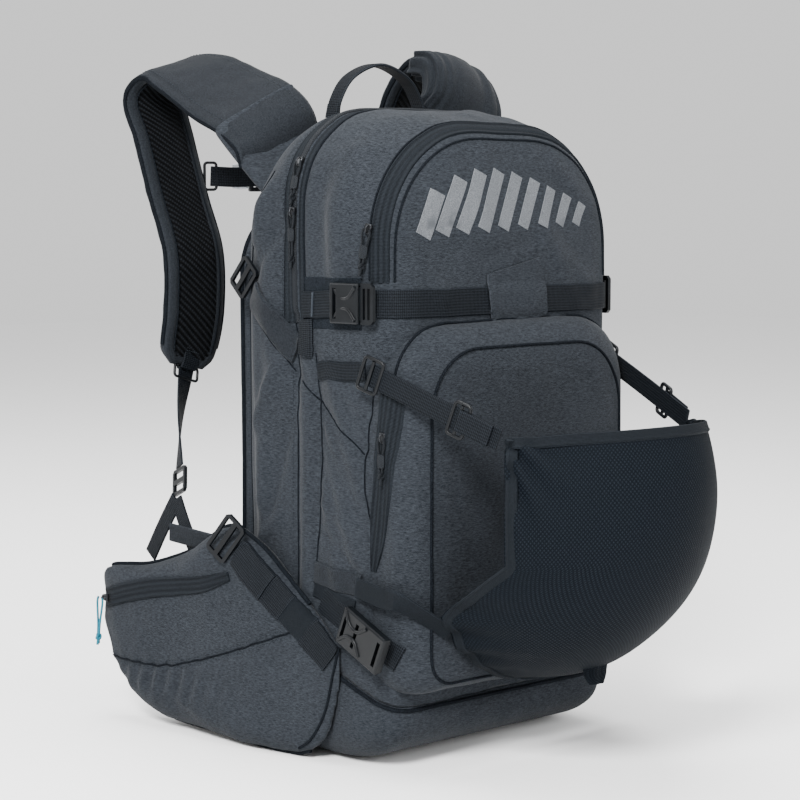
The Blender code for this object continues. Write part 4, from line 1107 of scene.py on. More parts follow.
def zip_frames():
    """Each slider's place, the way it runs, the way out of the fabric, and its pull's lean."""
    angle = math.radians(25.0)
    cos, sin = math.cos(angle), math.sin(angle)
    radius = table_row(SLIDER_Y)[4]
    out = np.array([-cos, 0.0, sin])
    on_corner = np.array([radius - HALF_WIDTH, SLIDER_Y, HEIGHT - radius]) + out * (radius + SLIDER_RISE)
    rows = {
        "main_zip_lower": ((-HALF_WIDTH - SLIDER_RISE, SLIDER_Y, 0.495), (0, 0, -1), (-1, 0, 0), 0.0),
        "main_zip_upper": (on_corner, (-sin, 0, -cos), out, 12.5),
        "front_zip": ((-0.1455, -0.0950, 0.481), (0.0, 0.229, -0.973), (-0.98, -0.18, 0.0), 0.0),
        "pocket_zip": ((-POCKET_HALF_WIDTH - SLIDER_RISE, -0.1120, 0.300), (0, 0, -1), (-1, 0, 0), 0.0),
    }
    for name, (place, along, normal, lean) in rows.items():
        yield name, np.array(place, float), unit(np.array(along, float)), unit(np.array(normal, float)), lean


def make_pull(name, place, along, normal, lean, length):
    """A looped cord through the slider, gathered in a moulded grip and knotted at its end."""
    body = f"{name}_pull"
    hole = place + normal * 0.0038
    lean = math.radians(lean)
    axis = along * math.cos(lean) - normal * math.sin(lean)
    reach = length - 0.004
    tie = knot(f"{name}_knot", hole + axis * reach, axis, 0.0022, "cord", body)
    spread = ((0.0, 0.0030), (0.004, 0.0042), (0.010, 0.0034), (0.018, 0.0014), (reach * 0.8, 0.0018),
              (reach, 0.0010))
    cord_loop(f"{name}_strand", hole, axis, np.cross(normal, along), spread, "cord", body)
    grip_path = straight(hole + axis * 0.014, hole + axis * 0.026, 0.0011)
    steps = np.linspace(0, math.pi, len(grip_path))
    section = [(a * 1.3, b * 0.9) for a, b in round_section(0.0027, 12)]
    grip = sweep(f"{name}_grip", grip_path, section, "cord", body, normal=normal,
                 scale=1.0 + 0.22 * np.sin(steps) + 0.06 * np.cos(steps * 10))
    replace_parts(grip, body)


def make_slider(name, place, along, normal, body, node):
    """A tapered slider body with a bridge over it for the pull."""
    across = np.cross(normal, along)
    half = [(-0.0046, 0.0034), (-0.0020, 0.0038), (0.0028, 0.0028), (0.0046, 0.0018)]
    plan = half + [(u, -w) for u, w in reversed(half)]
    rows = []
    for height, grow in ((0.0, 0.94), (0.0008, 1.0), (0.0026, 1.0), (0.0034, 0.88)):
        rows.append([place + along * u * grow + across * w * grow + normal * height for u, w in plan])
    obj = mesh_object(f"{name}_slider_body", np.vstack(rows), tube_faces(len(rows), len(plan)))
    tidy_mesh(obj)
    add_modifier(obj, "BEVEL", width=0.0004, segments=2)
    finish_piece(obj, "metal", body)
    bridge = [place + along * 0.0034 * math.cos(t) + normal * (0.0030 + 0.0026 * math.sin(t))
              for t in np.linspace(0, math.pi, 14)]
    bars(f"{name}_slider_bridge", [(bridge, False)], 0.0007, 3, "metal", body)
    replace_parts(obj, node)


def make_sliders():
    for name, place, along, normal, lean in zip_frames():
        body = name + ("_slider" if f"{name}_slider" in frame["bodies"] else "")
        make_slider(name, place, along, normal, body, f"{name}_slider")
        make_pull(name, place, along, normal, lean, PULLS[name])
    for side_name, side in SIDES.items():
        make_hip_slider(side_name, side)


def make_hip_slider(side_name, side):
    """The wing pocket's slider with its knotted accent cord."""
    body = f"hip_zip_{side_name}"
    place = np.array([side * 0.1993, 0.236, 0.118])
    normal = np.array([side, 0.0, 0.0])
    make_slider(body, place, np.array([0.0, 1.0, 0.0]), normal, body, f"hip_zip_slider_{side_name}")
    hole = place + normal * 0.0052 + (0, 0.004, 0)
    reach, axis = 0.040, np.array([0.0, 0.1, -1.0])
    tie = knot(f"hip_knot_{side_name}", hole + axis * reach, axis, 0.0021, "accent", body)
    spread = ((0.0, 0.0030), (0.004, 0.0044), (0.012, 0.0036), (0.026, 0.0016), (reach, 0.0010))
    cord_loop(f"hip_strand_{side_name}", hole, axis, np.array([0.0, 1.0, 0.0]), spread, "accent", body)


# Shoulder straps

def strap_frames(stations, spacing=0.004):
    rows = smooth(stations, spacing)
    centre, half, side = rows[:, :3], rows[:, 3], rows[:, 4:7]
    tangent = unit(np.gradient(centre, axis=0))
    side = unit(side - tangent * np.sum(side * tangent, axis=1, keepdims=True))
    return centre, half, side, np.cross(side, tangent), tangent


STRAP_BORDER = 0.012
STRAP_TIP = 0.018
STRAP_COLUMNS = 31


def strap_profile(half):
    """Pairs across and out for one strap section: the plain face, then the face with border and mesh."""
    edge, places = STRAP_THICKNESS / 2, np.linspace(-1.0, 1.0, STRAP_COLUMNS)
    plain, bordered = [], []
    for a in places:
        crown = edge * (1.0 - abs(a) ** 5 * 0.62)
        into = half - abs(a) * half
        seam = math.exp(-((0.0075 - into) / 0.0014) ** 2)
        plain.append((a * half, 0.0013 * seam - crown - 0.0006))
        seam = math.exp(-((into - STRAP_BORDER) / 0.0014) ** 2)
        mesh = 1.0 / (1.0 + math.exp(-(into - STRAP_BORDER) / 0.0008))
        bordered.append((a * half, crown - 0.0016 * seam - 0.0008 * mesh))
    return plain + bordered[::-1][1:-1]


def make_strap(name, stations, node):
    """A padded strap: smooth cloth outside, mesh inside a cloth border, round bound edges."""
    centre, half, side, up, _ = strap_frames(stations)
    along = lengths(centre)
    rest = along[-1] - along
    tip = np.clip(1 - rest / STRAP_TIP, 0.0, 1.0)
    closing = np.where(rest < STRAP_TIP, np.maximum(0.25, np.sqrt(1 - tip ** 2)), 1.0)
    rings = [strap_profile(h) for h in half]
    points, uvs = [], []
    for i, ring in enumerate(rings):
        points += [centre[i] + side[i] * a + up[i] * b * closing[i] for a, b in ring]
        uvs += [(along[i], a) for a, _ in ring]
    count = len(rings[0])
    obj = mesh_object(name, points, tube_faces(len(centre), count), uvs)
    tidy_mesh(obj, 0)
    displace(obj, lambda p: 0.0010 * ripple(p, (28, 28, 28), 3.0) + 0.0007 * ripple(p, (70, 70, 70), 6.0))
    finish_piece(obj, ["heather_strap", "mesh"], "pack", sharp=0)
    for polygon in obj.data.polygons:
        if len(polygon.vertices) > 4:
            continue
        row = polygon.vertices[0] // count
        ks = [v % count for v in polygon.vertices]
        inner_face = all(k >= STRAP_COLUMNS - 1 or k == 0 for k in ks) and max(ks) >= STRAP_COLUMNS
        margin = half[row] - max(abs(rings[row][k][0]) for k in ks)
        if inner_face and margin > STRAP_BORDER - 0.0012 and rest[row] > STRAP_BORDER:
            polygon.material_index = 1
    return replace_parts(obj, node)


def strap_line(stations, across, out):
    """A line inside a strap's edge, and the way out of its face; out is above or below the middle."""
    centre, half, side, up, _ = strap_frames(stations)
    along = lengths(centre)
    keep = (along > 0.030) & (along < along[-1] - 0.016)
    line = centre + side * (across * (half[:, None] - 0.0105)) + up * out
    return line[keep], (up * math.copysign(1.0, out))[keep]


def strap_stitches(name, stations):
    """Thread inside both edges of a strap, on both of its faces."""
    for k, (across, out) in enumerate([(a, o) for a in (-1, 1) for o in (0.0062, -0.0066)]):
        line, normal = strap_line(stations, across, out)
        line = even(line, 0.004)
        normals = normal[np.linspace(0, len(normal) - 1, len(line)).round().astype(int)]
        tangent = unit(np.gradient(line, axis=0))
        rows = [(line, tangent, np.cross(tangent, normals), normals)]
        thread_rows(f"{name}_{k}", rows, "pack", 0.0014, 0.0004, 0.0, 0.0005)


def make_strap_trim(name, stations):
    """Dark seam cords beside the strap's edges and a binding round each edge."""
    centre, half, side, up, _ = strap_frames(stations)
    keep = lengths(centre) < lengths(centre)[-1] - STRAP_TIP
    section = [(b, a * 1.9) for a, b in round_section(0.0014, 10)]
    for label, across in (("a", -1), ("b", 1)):
        line, normal = strap_line(stations, across, 0.0070)
        sweep(f"{name}_seam_{label}", line, round_section(0.0007, 6), "seam", "pack", normal=normal)
        rim = (centre + side * (across * (half[:, None] - 0.0002)))[keep]
        sweep(f"{name}_rim_{label}", rim, section, "seam", "pack", normal=up[keep])


def squared(angle, a, b, a_power, b_power):
    """A point of a rounded rectangle at an angle, from its half sides."""
    cos, sin = math.cos(angle), math.sin(angle)
    return a * math.copysign(abs(cos) ** a_power, cos), b * math.copysign(abs(sin) ** b_power, sin)


def make_strap_root(name, stations, surface):
    """The cloth yoke that runs from the strap's first stretch out onto the pack."""
    centre, half, side, up, tangent = strap_frames(stations)
    at = int(np.searchsorted(lengths(centre), 0.056))
    sides, steps = 96, 18
    angles = np.linspace(0, 2 * math.pi, sides, endpoint=False)
    top, low = [], []
    for angle in angles:
        a, b = squared(angle, half[at] + 0.0010, STRAP_THICKNESS / 2 + 0.0010, 0.4, 0.6)
        top.append(centre[at] + side[at] * a + up[at] * b)
        wide = centre[0] - tangent[0] * 0.014 + side[0] * a * 1.16 + up[0] * b * 2.4
        low.append(np.array(surface.find_nearest(Vector(wide))[0]))
    top, low = np.array(top), averaged_ring(np.array(low))
    rows, uvs = [], []
    for t in np.linspace(0.0, 1.0, steps + 1):
        ease = t * t * (3 - 2 * t)
        ring = top * (1 - ease) + low * ease
        middle = ring.mean(axis=0)
        fold = 1.0 + 0.020 * np.sin(angles * 7 + 2.5 * t) * math.sin(math.pi * t)
        rows.append(middle + (ring - middle) * fold[:, None])
        uvs += [(t * 0.06, k * 0.002) for k in range(sides)]
    obj = mesh_object(name, np.vstack(rows), grid_faces(steps + 1, sides, True), uvs)
    tidy_mesh(obj)
    add_modifier(obj, "SOLIDIFY", thickness=0.0010, offset=0.0)
    return finish_piece(obj, "heather", "pack", sharp=0)


def averaged_ring(ring, passes=6):
    for _ in range(passes):
        ring = (np.roll(ring, 1, axis=0) + 2 * ring + np.roll(ring, -1, axis=0)) / 4
    return ring


def make_strap_cover():
    """The gathered cloth tube round the top of the right strap, with folds along it."""
    centre, half, side, up, _ = strap_frames(RIGHT_STRAP[1:5], 0.0025)
    along = lengths(centre)
    points, uvs = [], []
    sides = 120
    for i, t in enumerate(along / along[-1]):
        bunch = 0.55 + 0.45 * math.sin(math.pi * min(1.0, t * 1.15)) ** 0.5
        for angle in np.linspace(0, 2 * math.pi, sides, endpoint=False):
            wave = math.sin(9 * angle + 1.3 * math.sin(3 * angle) + 2.2 * t)
            wave += 0.5 * math.sin(17 * angle + 5 * t)
            pleat = 0.0018 * wave * (0.5 + 0.9 * abs(t - 0.45))
            thick = STRAP_THICKNESS / 2 + 0.0070 + 0.0030 * bunch + pleat
            a, b = squared(angle, half[i] + 0.0065 + pleat, thick, 0.5, 0.75)
            points.append(centre[i] + side[i] * a + up[i] * b)
            uvs.append((along[i], angle * 0.03))
    obj = mesh_object("strap_cover", points, grid_faces(len(centre), sides, True), uvs)
    tidy_mesh(obj)
    add_modifier(obj, "SOLIDIFY", thickness=0.0014, offset=-1.0)
    finish_piece(obj, "heather_strap", "pack", sharp=0)
    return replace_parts(obj, "strap_cover_right")


# Shoulder strap fittings, haul loop and sternum strap

def rounded_loop(centre, along, across, length, width, radius=0.003):
    """A rectangular ring with rounded corners."""
    half_l, half_w = length / 2 - radius, width / 2 - radius
    points = []
    for k, (u, v) in enumerate(((half_l, half_w), (-half_l, half_w), (-half_l, -half_w), (half_l, -half_w))):
        for a, b in arc((u, v), radius, 90 * k, 90 * k + 90, 4):
            points.append(centre + along * a + across * b)
    return points


def make_strap_webbing(side_name, stations):
    """The ring and tape at a strap's foot, and the webbing down to the adjuster."""
    side = SIDES[side_name]
    foot = np.array(stations[-1][:3])
    low = np.array(ADJUSTERS[side_name])
    way = unit(low - foot)
    middle = (foot + low) / 2 + (0, 0.004, 0)
    normals = [(0.0, 1.0, 0.25), (side * 0.6, 0.75, 0.1), (side * 0.95, 0.30, 0.0)]
    path = smooth(np.hstack([np.array([foot + way * 0.002, middle, low]), np.array(normals)]))
    piece = sweep(f"strap_tape_{side_name}", path[:, :3], flat_section(0.020, 0.0016), "webbing", "pack",
                  normal=path[:, 3:])
    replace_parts(piece, f"strap_webbing_{side_name}")
    across = unit(np.cross(way, np.array(normals[0])))
    ring = rounded_loop(foot + way * 0.006, way, across, 0.013, 0.030)
    plastic_ring(f"strap_ring_{side_name}", ring, 0.0014, "pack")
    half = STRAP_THICKNESS / 2
    for label, sign in (("outer", 1), ("inner", -1)):
        face = unit(np.cross(across, way)) * sign
        start = foot - way * 0.020 + face * (half + 0.0006)
        bend, end = foot - way * 0.006 + face * (half - 0.001), foot + way * 0.003 + face * 0.002
        line = smooth([start, bend, end], 0.003)
        sweep(f"strap_foot_{side_name}_{label}", line, flat_section(0.020, 0.0014), "webbing", "pack",
              normal=face)
        middles = [start + way * k + face * 0.0015 for k in (0.002, 0.0045, 0.007)]
        rows = [np.array([at - across * 0.008, at + across * 0.008]) for at in middles]
        stitches(f"strap_foot_tack_{side_name}_{label}", rows, "pack", None, face, 0.0024, 0.0005)


def make_haul_loop():
    half, low, peak, y = 0.055, 0.580, 0.634, 0.060
    points = [(-half, low), (-half * 0.93, low + 0.020), (-half * 0.62, peak - 0.012), (0.0, peak)]
    points += [(-x, z) for x, z in reversed(points[:-1])]
    path = smooth([(x, y, z) for x, z in points], 0.003)
    outward = unit(path - (0.0, y, low))
    piece = sweep("haul_webbing", path, flat_section(0.018, 0.0026), "webbing", "haul_loop", normal=outward)
    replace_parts(piece, "haul_loop")
    for side_name, side in SIDES.items():
        foot = straight((side * 0.0530, y, 0.5960), (side * 0.0560, y, 0.5835), 0.003)
        webbing(f"haul_foot_{side_name}", foot, 0.0185, "haul_loop", normal=(side, 0, 0.2), thickness=0.0030)


def make_sternum_strap():
    """The two halves that meet in the buckle, their clips on the straps, a free tail and a whistle."""
    left, right = np.array([-0.068, 0.236, 0.530]), np.array([0.066, 0.172, 0.530])
    along = unit(right - left)
    normal = np.cross((0.0, 0.0, 1.0), along)
    mouth = (left + right) / 2
    halves = (("left", left, mouth - along * 0.024), ("right", mouth + along * 0.006, right))
    for side_name, start, end in halves:
        piece = webbing(f"sternum_tape_{side_name}", [start, (start + end) / 2 - (0, 0, 0.001), end], 0.020,
                        "sternum_strap", normal=normal)
        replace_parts(piece, f"sternum_strap_{side_name}")
        at = start if side_name == "left" else end
        ring = rounded_loop(at + normal * 0.001, along, np.array([0.0, 0.0, 1.0]), 0.012, 0.027)
        plastic_ring(f"sternum_clip_{side_name}", ring, 0.0015, "sternum_strap")
    tail = [mouth + along * 0.012 + normal * 0.0034, mouth + along * 0.030 + normal * 0.004 - (0, 0, 0.002),
            mouth + along * 0.040 + normal * 0.003 - (0, 0, 0.010)]
    webbing("sternum_tail", tail, 0.019, "sternum_buckle", normal=normal, spacing=0.003)
    clip = mouth - along * 0.042 + normal * 0.0032
    rows = straight(clip - along * 0.009, clip + along * 0.009, 0.0015)
    scale = 0.90 + 0.10 * np.sin(np.linspace(0.0, math.pi, len(rows)))
    sweep("sternum_whistle", rows, flat_section(0.0270, 0.0034), "pale", "sternum_strap", normal=normal,
          scale=scale)


# Hip belt

LONG_SEAM = ((0.232, 0.060), (0.184, 0.061), (0.135, 0.066), (0.063, 0.088), (-0.018, 0.119))
WING_ZIP = ((0.243, 0.116), (0.170, 0.135), (0.100, 0.147), (0.060, 0.160))
FRONT_SEAM = ((-0.017, 0.007), (-0.032, 0.020), (-0.048, 0.048), (-0.055, 0.078), (-0.066, 0.113))


def belt_x(y):
    """Outer and inner half widths of the belt at y."""
    rows = np.array(BELT_SECTIONS)
    return np.interp(y, rows[:, 0], rows[:, 1]), np.interp(y, rows[:, 0], rows[:, 2])


def belt_line(side, points, spacing=0.004):
    """A line just outside the belt, given as y, z and anything that rides along."""
    return smooth([(side * (belt_x(y)[0] + 0.004), y, *rest) for y, *rest in points], spacing)


def belt_field(points, side):
    """Seams and zip sunk in the outer face, soft waves, and short pleats low on the wing."""
    outer, inner = belt_x(points[:, 1])
    outside = (np.abs(points[:, 0]) - (outer + inner) / 2) / ((outer - inner) / 2 + 1e-9) > 0.35
    puff = 0.0010 * ripple(points, (16, 22, 30), 2.0 + side)
    puff += 0.0007 * ripple(points, (34, 60, 60), 5.0 + side)
    grooves = ((LONG_SEAM, 0.0030, 0.0026), (FRONT_SEAM, 0.0026, 0.0016), (WING_ZIP, 0.0120, 0.0030))
    for path, width, depth in grooves:
        puff -= depth * near(points, belt_line(side, path), width)
    low = gauss(points * (0, 1, 1), (0.0, 0.150, 0.050), (1.0, 0.070, 0.016))
    puff += 0.0020 * np.sin(points[:, 1] * 330 + points[:, 2] * 120) * low
    return puff * outside


def make_belt(side_name):
    """One padded half of the hip belt, from the base panel to the wing's tip."""
    side = SIDES[side_name]
    count = 72
    rows = []
    for y, outer, inner, low, high in smooth(BELT_SECTIONS, 0.006):
        middle, half = (outer + inner) / 2, (outer - inner) / 2
        radius = min(0.45 * (high - low), 0.9 * half)
        ring = upright(y, outline(half, low, high, radius, radius), count)
        rows.append((ring + (middle, 0, 0)) * (side, 1, 1))
    obj = mesh_object(f"hip_belt_{side_name}", np.vstack(rows), tube_faces(len(rows), count))
    tidy_mesh(obj)
    simulate(obj, pressure=3.0, cap=0.0016, voxel=0.0036, frames=16)
    displace(obj, lambda p: belt_field(p, side))
    co = coordinates(obj)
    flat_uvs(obj, co[:, 1] * side, co[:, 2])
    finish_piece(obj, ["heather", "pale_mesh"], None, sharp=0)
    facing_in = normals_of(obj)[:, 0] * side < -0.45
    for polygon in obj.data.polygons:
        if all(facing_in[v] for v in polygon.vertices):
            polygon.material_index = 1
    blend_belt(obj)
    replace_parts(obj, f"hip_fin_{side_name}")
    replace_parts(obj, f"hip_wing_{side_name}")
    return obj


def blend_belt(obj):
    """Bend a piece from the pack to the wing over the stretch where the belt bends."""
    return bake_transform(obj)


def make_belt_details(side_name, belt):
    """Seams, zip band and binding of one belt half."""
    side = SIDES[side_name]
    surface = surface_of(belt)
    seam = belt_line(side, LONG_SEAM)
    for label, shift in (("upper", 0.0032), ("lower", -0.0032)):
        row = stitches(f"belt_stitches_{side_name}_{label}", [seam + (0, 0, shift)], None, surface)
        blend_belt(row)
    blend_belt(piping(f"belt_seam_{side_name}", seam, None, surface, 0.0009))
    rows = belt_line(side, [(*spot, width) for spot, width in zip(WING_ZIP, (1.0, 1.0, 0.8, 0.45))])
    beads = [(-0.0084, 0.0012, 0.0009), (0.0084, 0.0012, 0.0009), (0.0, 0.0020, 0.0012)]
    tape = sweep(f"wing_zip_{side_name}", rows[:, :3], flat_section(0.0200, 0.0012, 6, beads), "tape", None,
                 surface=surface, scale=rows[:, 3], lift=0.0004)
    blend_belt(tape)
    piping(f"front_belt_cord_{side_name}", belt_line(side, FRONT_SEAM), "pack", surface, 0.0013)
    for label, column, inset in (("lower", 3, 0.0004), ("upper", 4, -0.0004)):
        line = [(side * (row[1] + row[2]) / 2, row[0], row[column] + inset) for row in BELT_SECTIONS[2:-1]]
        blend_belt(piping(f"belt_rim_{label}_{side_name}", smooth(line), None, surface, 0.0022))
    rim = smooth([(side * (row[2] + 0.006), row[0], row[4] + 0.002) for row in BELT_SECTIONS[7:-2]], 0.003)
    scale = np.sin(np.linspace(0.35, math.pi - 0.35, len(rim)))
    face = sweep(f"belt_face_{side_name}", rim, flat_section(0.017, 0.0012, 9), "pale_mesh", None,
                 surface=surface, scale=scale, lift=0.0003)
    blend_belt(face)
    edge = smooth([(side * (row[2] + 0.0135), row[0], row[4] + 0.001) for row in BELT_SECTIONS[6:-2]])
    blend_belt(piping(f"belt_inner_cord_{side_name}", edge, None, surface, 0.0014))


def make_stabiliser(side_name, belt):
    """The wide webbing along the fin's top: ribbed, smooth, ribbed and folded stretches."""
    side = SIDES[side_name]
    start, end = np.array([-0.058, 0.098]), np.array([0.050, 0.186])
    surface = surface_of(belt)
    spans = (
        ("front", 0.0, 0.27, "webbing", 0.0018, 0.0340),
        ("bare", 0.25, 0.48, "smooth_tape", 0.0012, 0.0325),
        ("middle", 0.46, 0.67, "webbing", 0.0018, 0.0340),
        ("fold", 0.65, 1.0, "webbing", 0.0034, 0.0340),
    )
    for label, a, b, material, thickness, width in spans:
        rows = belt_line(side, [start + (end - start) * t for t in np.linspace(a, b, 8)])
        piece = webbing(f"hip_tape_{label}_{side_name}", rows, width, "pack", surface=surface,
                        thickness=thickness, material=material, lift=0.0012)
        if label == "front":
            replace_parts(piece, f"hip_strap_{side_name}")


# Where each V of webbing meets, as y and z
STAY_TOPS = {"left": (0.178, 0.217), "right": (0.173, 0.227)}


def make_stay_straps(side_name):
    """The V of webbing between the shoulder strap's adjuster and the wing."""
    side = SIDES[side_name]
    wing = f"hip_wing_{side_name}"
    x = side * 0.1556
    top = np.array([x, *STAY_TOPS[side_name]])
    for label, foot in (("front", (0.151, 0.172)), ("rear", (0.222, 0.157))):
        low = np.array([x, *foot])
        line = [top, (top + low) / 2 + (side * 0.0008, 0, 0), low]
        piece = webbing(f"stay_tape_{label}_{side_name}", line, 0.0180, wing, normal=(side, 0, 0))
        if label == "front":
            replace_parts(piece, f"stay_strap_{side_name}")
    tab = straight((side * 0.1572, 0.117, 0.181), (side * 0.1572, 0.186, 0.184))
    section = flat_section(0.018, 0.0022)
    sweep(f"stay_tab_{side_name}", tab, section, "heather_strap", wing, normal=(side, 0, 0))


def make_belt_webbing(side_name):
    """The waist tape tucked behind the wing's tip."""
    side = SIDES[side_name]
    path = [(side * x, y, 0.116) for x, y in ((0.1730, 0.2440), (0.1620, 0.2230), (0.1510, 0.1990))]
    piece = webbing(f"waist_tape_{side_name}", path, 0.038, f"hip_wing_{side_name}", normal=(-side, 0.5, 0.0))
    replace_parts(piece, f"belt_webbing_{side_name}")


# Helmet net

def net_point(across, down):
    """A point of the dome: across from -1 to 1, down from the rim at 0 to the lowest at 1."""
    top, low = NET_ELEVATIONS
    elevation = math.radians(top + (low - top) * down)
    reach = NET_HALF[1] * math.cos(elevation)
    widest = math.radians(58.0 + 32.0 * min(max((down - 0.35) / 0.25, 0.0), 1.0))
    turn = across * min(widest, math.acos(min(NET_CLEARANCE / reach, 1.0)))
    rise = NET_HALF[2] * math.sin(elevation) - 0.010 * across ** 2 * (1.0 - down)
    return np.array([
        NET_CENTRE[0] + NET_HALF[0] * math.sin(turn) * math.cos(elevation),
        NET_CENTRE[1] - reach * math.cos(turn),
        NET_CENTRE[2] + rise,
    ])


def make_net():
    """The stretched net with its bound edges and the gathered point under it."""
    columns, rows = 110, 90
    across, down = np.linspace(-1, 1, columns + 1)[None, :], np.linspace(0, 1, rows + 1)[:, None]
    grid = np.array([[net_point(a, d) for a in across[0]] for d in down[:, 0]])
    centre = np.array(NET_CENTRE)
    at_side = np.abs(across) - 1
    spread = np.arctan2(down + 0.04, 0.04 - at_side)
    pull = 0.0032 * np.sin(spread * 17) * np.exp(-(at_side / 0.28) ** 2 - (down / 0.30) ** 2)
    pull = pull + 0.0026 * np.sin(down * 60) * np.exp(-(at_side / 0.25) ** 2 - ((down - 0.62) / 0.16) ** 2)
    pull = pull + 0.0022 * ripple(grid.reshape(-1, 3), (11, 11, 9), 8.0).reshape(rows + 1, columns + 1)
    grid = grid + unit(grid - centre) * pull[:, :, None]
    along_u, along_v = lengths(grid[rows // 2]), lengths(grid[:, columns // 2])
    uvs = [(u, v) for v in along_v for u in along_u]
    obj = mesh_object("net_sheet", grid.reshape(-1, 3), grid_faces(rows + 1, columns + 1, False), uvs)
    finish_piece(obj, "net", "helmet_net", sharp=0)
    add_modifier(obj, "SOLIDIFY", thickness=0.0010, offset=0.0)
    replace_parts(obj, "helmet_net")
    section = flat_section(0.0100, 0.0016, 7, [(0.0032, 0.0008, 0.0006)])
    rims = {"top": grid[1], "left": grid[:84, 2], "right": grid[:84, -3], "low": grid[-3]}
    for label, line in rims.items():
        path = even(line, 0.004)
        sweep(f"net_binding_{label}", path, section, "smooth_tape", "helmet_net",
              normal=averaged(unit(path - centre)), lift=0.0004)
    make_net_tail()


def make_net_tail():
    """The gathered point of net left at the bottom of the front."""
    points, uvs = [], []
    rows, sides = 9, 28
    for k, down in enumerate(np.linspace(0.0, 1.0, rows)):
        centre = net_point(0.0, 0.80) + np.array([0.0, -0.002 - 0.003 * down, 0.004 - 0.017 * down])
        wide, deep = 0.015 * (1.0 - 0.45 * down ** 2), 0.0055 * (1 - 0.3 * down)
        for angle in np.linspace(0, 2 * math.pi, sides, endpoint=False):
            fold = 1.0 + 0.14 * math.sin(6 * angle + 1.5 * down)
            points.append(centre + np.array([wide * math.cos(angle), deep * math.sin(angle), 0.0]) * fold)
            uvs.append((k * 0.003, angle * wide))
    obj = mesh_object("net_tail", points, tube_faces(rows, sides), uvs)
    tidy_mesh(obj)
    return finish_piece(obj, "net", "helmet_net", sharp=0)


def make_net_straps(side_name):
    """The net's upper strap with its lock and its hook."""
    side = SIDES[side_name]
    corner = net_point(float(side), 0.0)
    hook = np.array([side * 0.1535, -0.095, 0.358])
    way = unit(hook - corner)
    start, end = corner + way * 0.003 + (side * 0.0035, 0, 0), hook - way * 0.010
    middle = (start + end) / 2 + (side * 0.001, 0, 0)
    normal = unit(np.array([side, -0.3, 0.0]))
    piece = webbing(f"net_tape_{side_name}", [start, middle, end], 0.020, "helmet_net", normal=normal)
    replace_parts(piece, f"net_strap_{side_name}")
    across = np.cross(way, normal)
    lock = start + (end - start) * 0.30
    for label, at, length in (("lock", lock, 0.016), ("hook", end, 0.020)):
        ring = rounded_loop(at + normal * 0.0022, way, unit(across), length, 0.029)
        plastic_ring(f"net_{label}_ring_{side_name}", ring, 0.0017, "helmet_net")
        bar = [at + normal * 0.0030 + unit(across) * shift for shift in (-0.0130, 0.0130)]
        bars(f"net_{label}_bar_{side_name}", [(bar, False)], 0.0016, 3, "plastic", "helmet_net")
    fold = [start + way * 0.008 + normal * 0.003, lock + normal * 0.0045]
    fold.insert(1, (fold[0] + fold[1]) / 2)
    webbing(f"net_tape_fold_{side_name}", fold, 0.0195, "helmet_net", normal=normal)


def make_lower_net_strap(side_name):
    """The cloth strap from the pack's side to the net's lower corner."""
    side = SIDES[side_name]
    x = side * (HALF_WIDTH + 0.0030)
    corner = net_point(float(side), 0.60)
    path = [(x, -0.084, 0.1655), (x, -0.120, 0.1600), (x - side * 0.002, -0.140, 0.1590),
            corner * (0.985, 1, 1)]
    piece = webbing(f"lower_net_strap_{side_name}", path, 0.0190, None, normal=(side, -0.12, 0.0),
                    thickness=0.0020, material="smooth_tape")
    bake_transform(piece)


# Back panel

def make_back_panel():
    """Two long mesh pads with a hollow channel between them, on a bound edge."""
    half, z_low, z_high, y_front, y_rear = 0.128, 0.052, 0.500, 0.0956, 0.125
    count, steps = 220, 26
    rows = []
    edge = ((y_front, 0.0), (y_front + 0.010, 0.0), (y_front + 0.016, 0.0015), (y_front + 0.022, 0.006),
            (y_rear - 0.0035, 0.012))
    for y, inset in edge:
        rows.append(upright(y, outline(half - inset, z_low + inset, z_high - inset, 0.030, 0.060), count))
    last = rows[-1]
    heights = np.clip(last[:, 2], z_low + 0.060, z_high - 0.080)
    spine = np.column_stack([np.zeros(count), np.full(count, y_rear), heights])
    for t in np.arange(1, steps) / steps:
        ring = last * (1 - t) + spine * t
        ring[:, 1] = y_rear
        rows.append(ring)
    obj = mesh_object("back_pad", np.vstack(rows), tube_faces(len(rows), count))
    tidy_mesh(obj)
    simulate(obj, pressure=2.0, cap=0.0015, voxel=0.0045, frames=12)
    displace(obj, back_field)
    co = coordinates(obj)
    flat_uvs(obj, co[:, 2], co[:, 0])
    finish_piece(obj, ["mesh", "heather"], "pack", sharp=0)
    for polygon in obj.data.polygons:
        if polygon.center.y < y_front + 0.012:
            polygon.material_index = 1
    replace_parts(obj, "back_panel")
    rim = upright(y_front + 0.013, outline(half + 0.002, z_low - 0.002, z_high + 0.002, 0.031, 0.061), 300)
    piping("back_pad_binding", np.vstack([rim, rim[:1]]), "pack", surface_of(obj), 0.0022)


def back_field(points):
    """The channel up the middle, slanting sewn lines and the channel's edges, on the rear face only."""
    rear = np.clip((points[:, 1] - 0.112) / 0.010, 0, 1)
    x, z = np.abs(points[:, 0]), points[:, 2]
    channel = np.exp(-(x / 0.017) ** 2)
    inside = np.clip((0.470 - z) / 0.03, 0, 1) * np.clip((z - 0.075) / 0.03, 0, 1)
    field = -0.0125 * channel * inside
    for line in (0.155, 0.300, 0.410):
        field = field - 0.0026 * np.exp(-((z - line - 0.10 * (x - 0.06)) / 0.0035) ** 2) * (1 - channel)
    field = field - 0.0024 * np.exp(-((x - 0.028) / 0.0028) ** 2)
    return (field + 0.0008 * ripple(points, (22, 22, 22), 1.0)) * rear


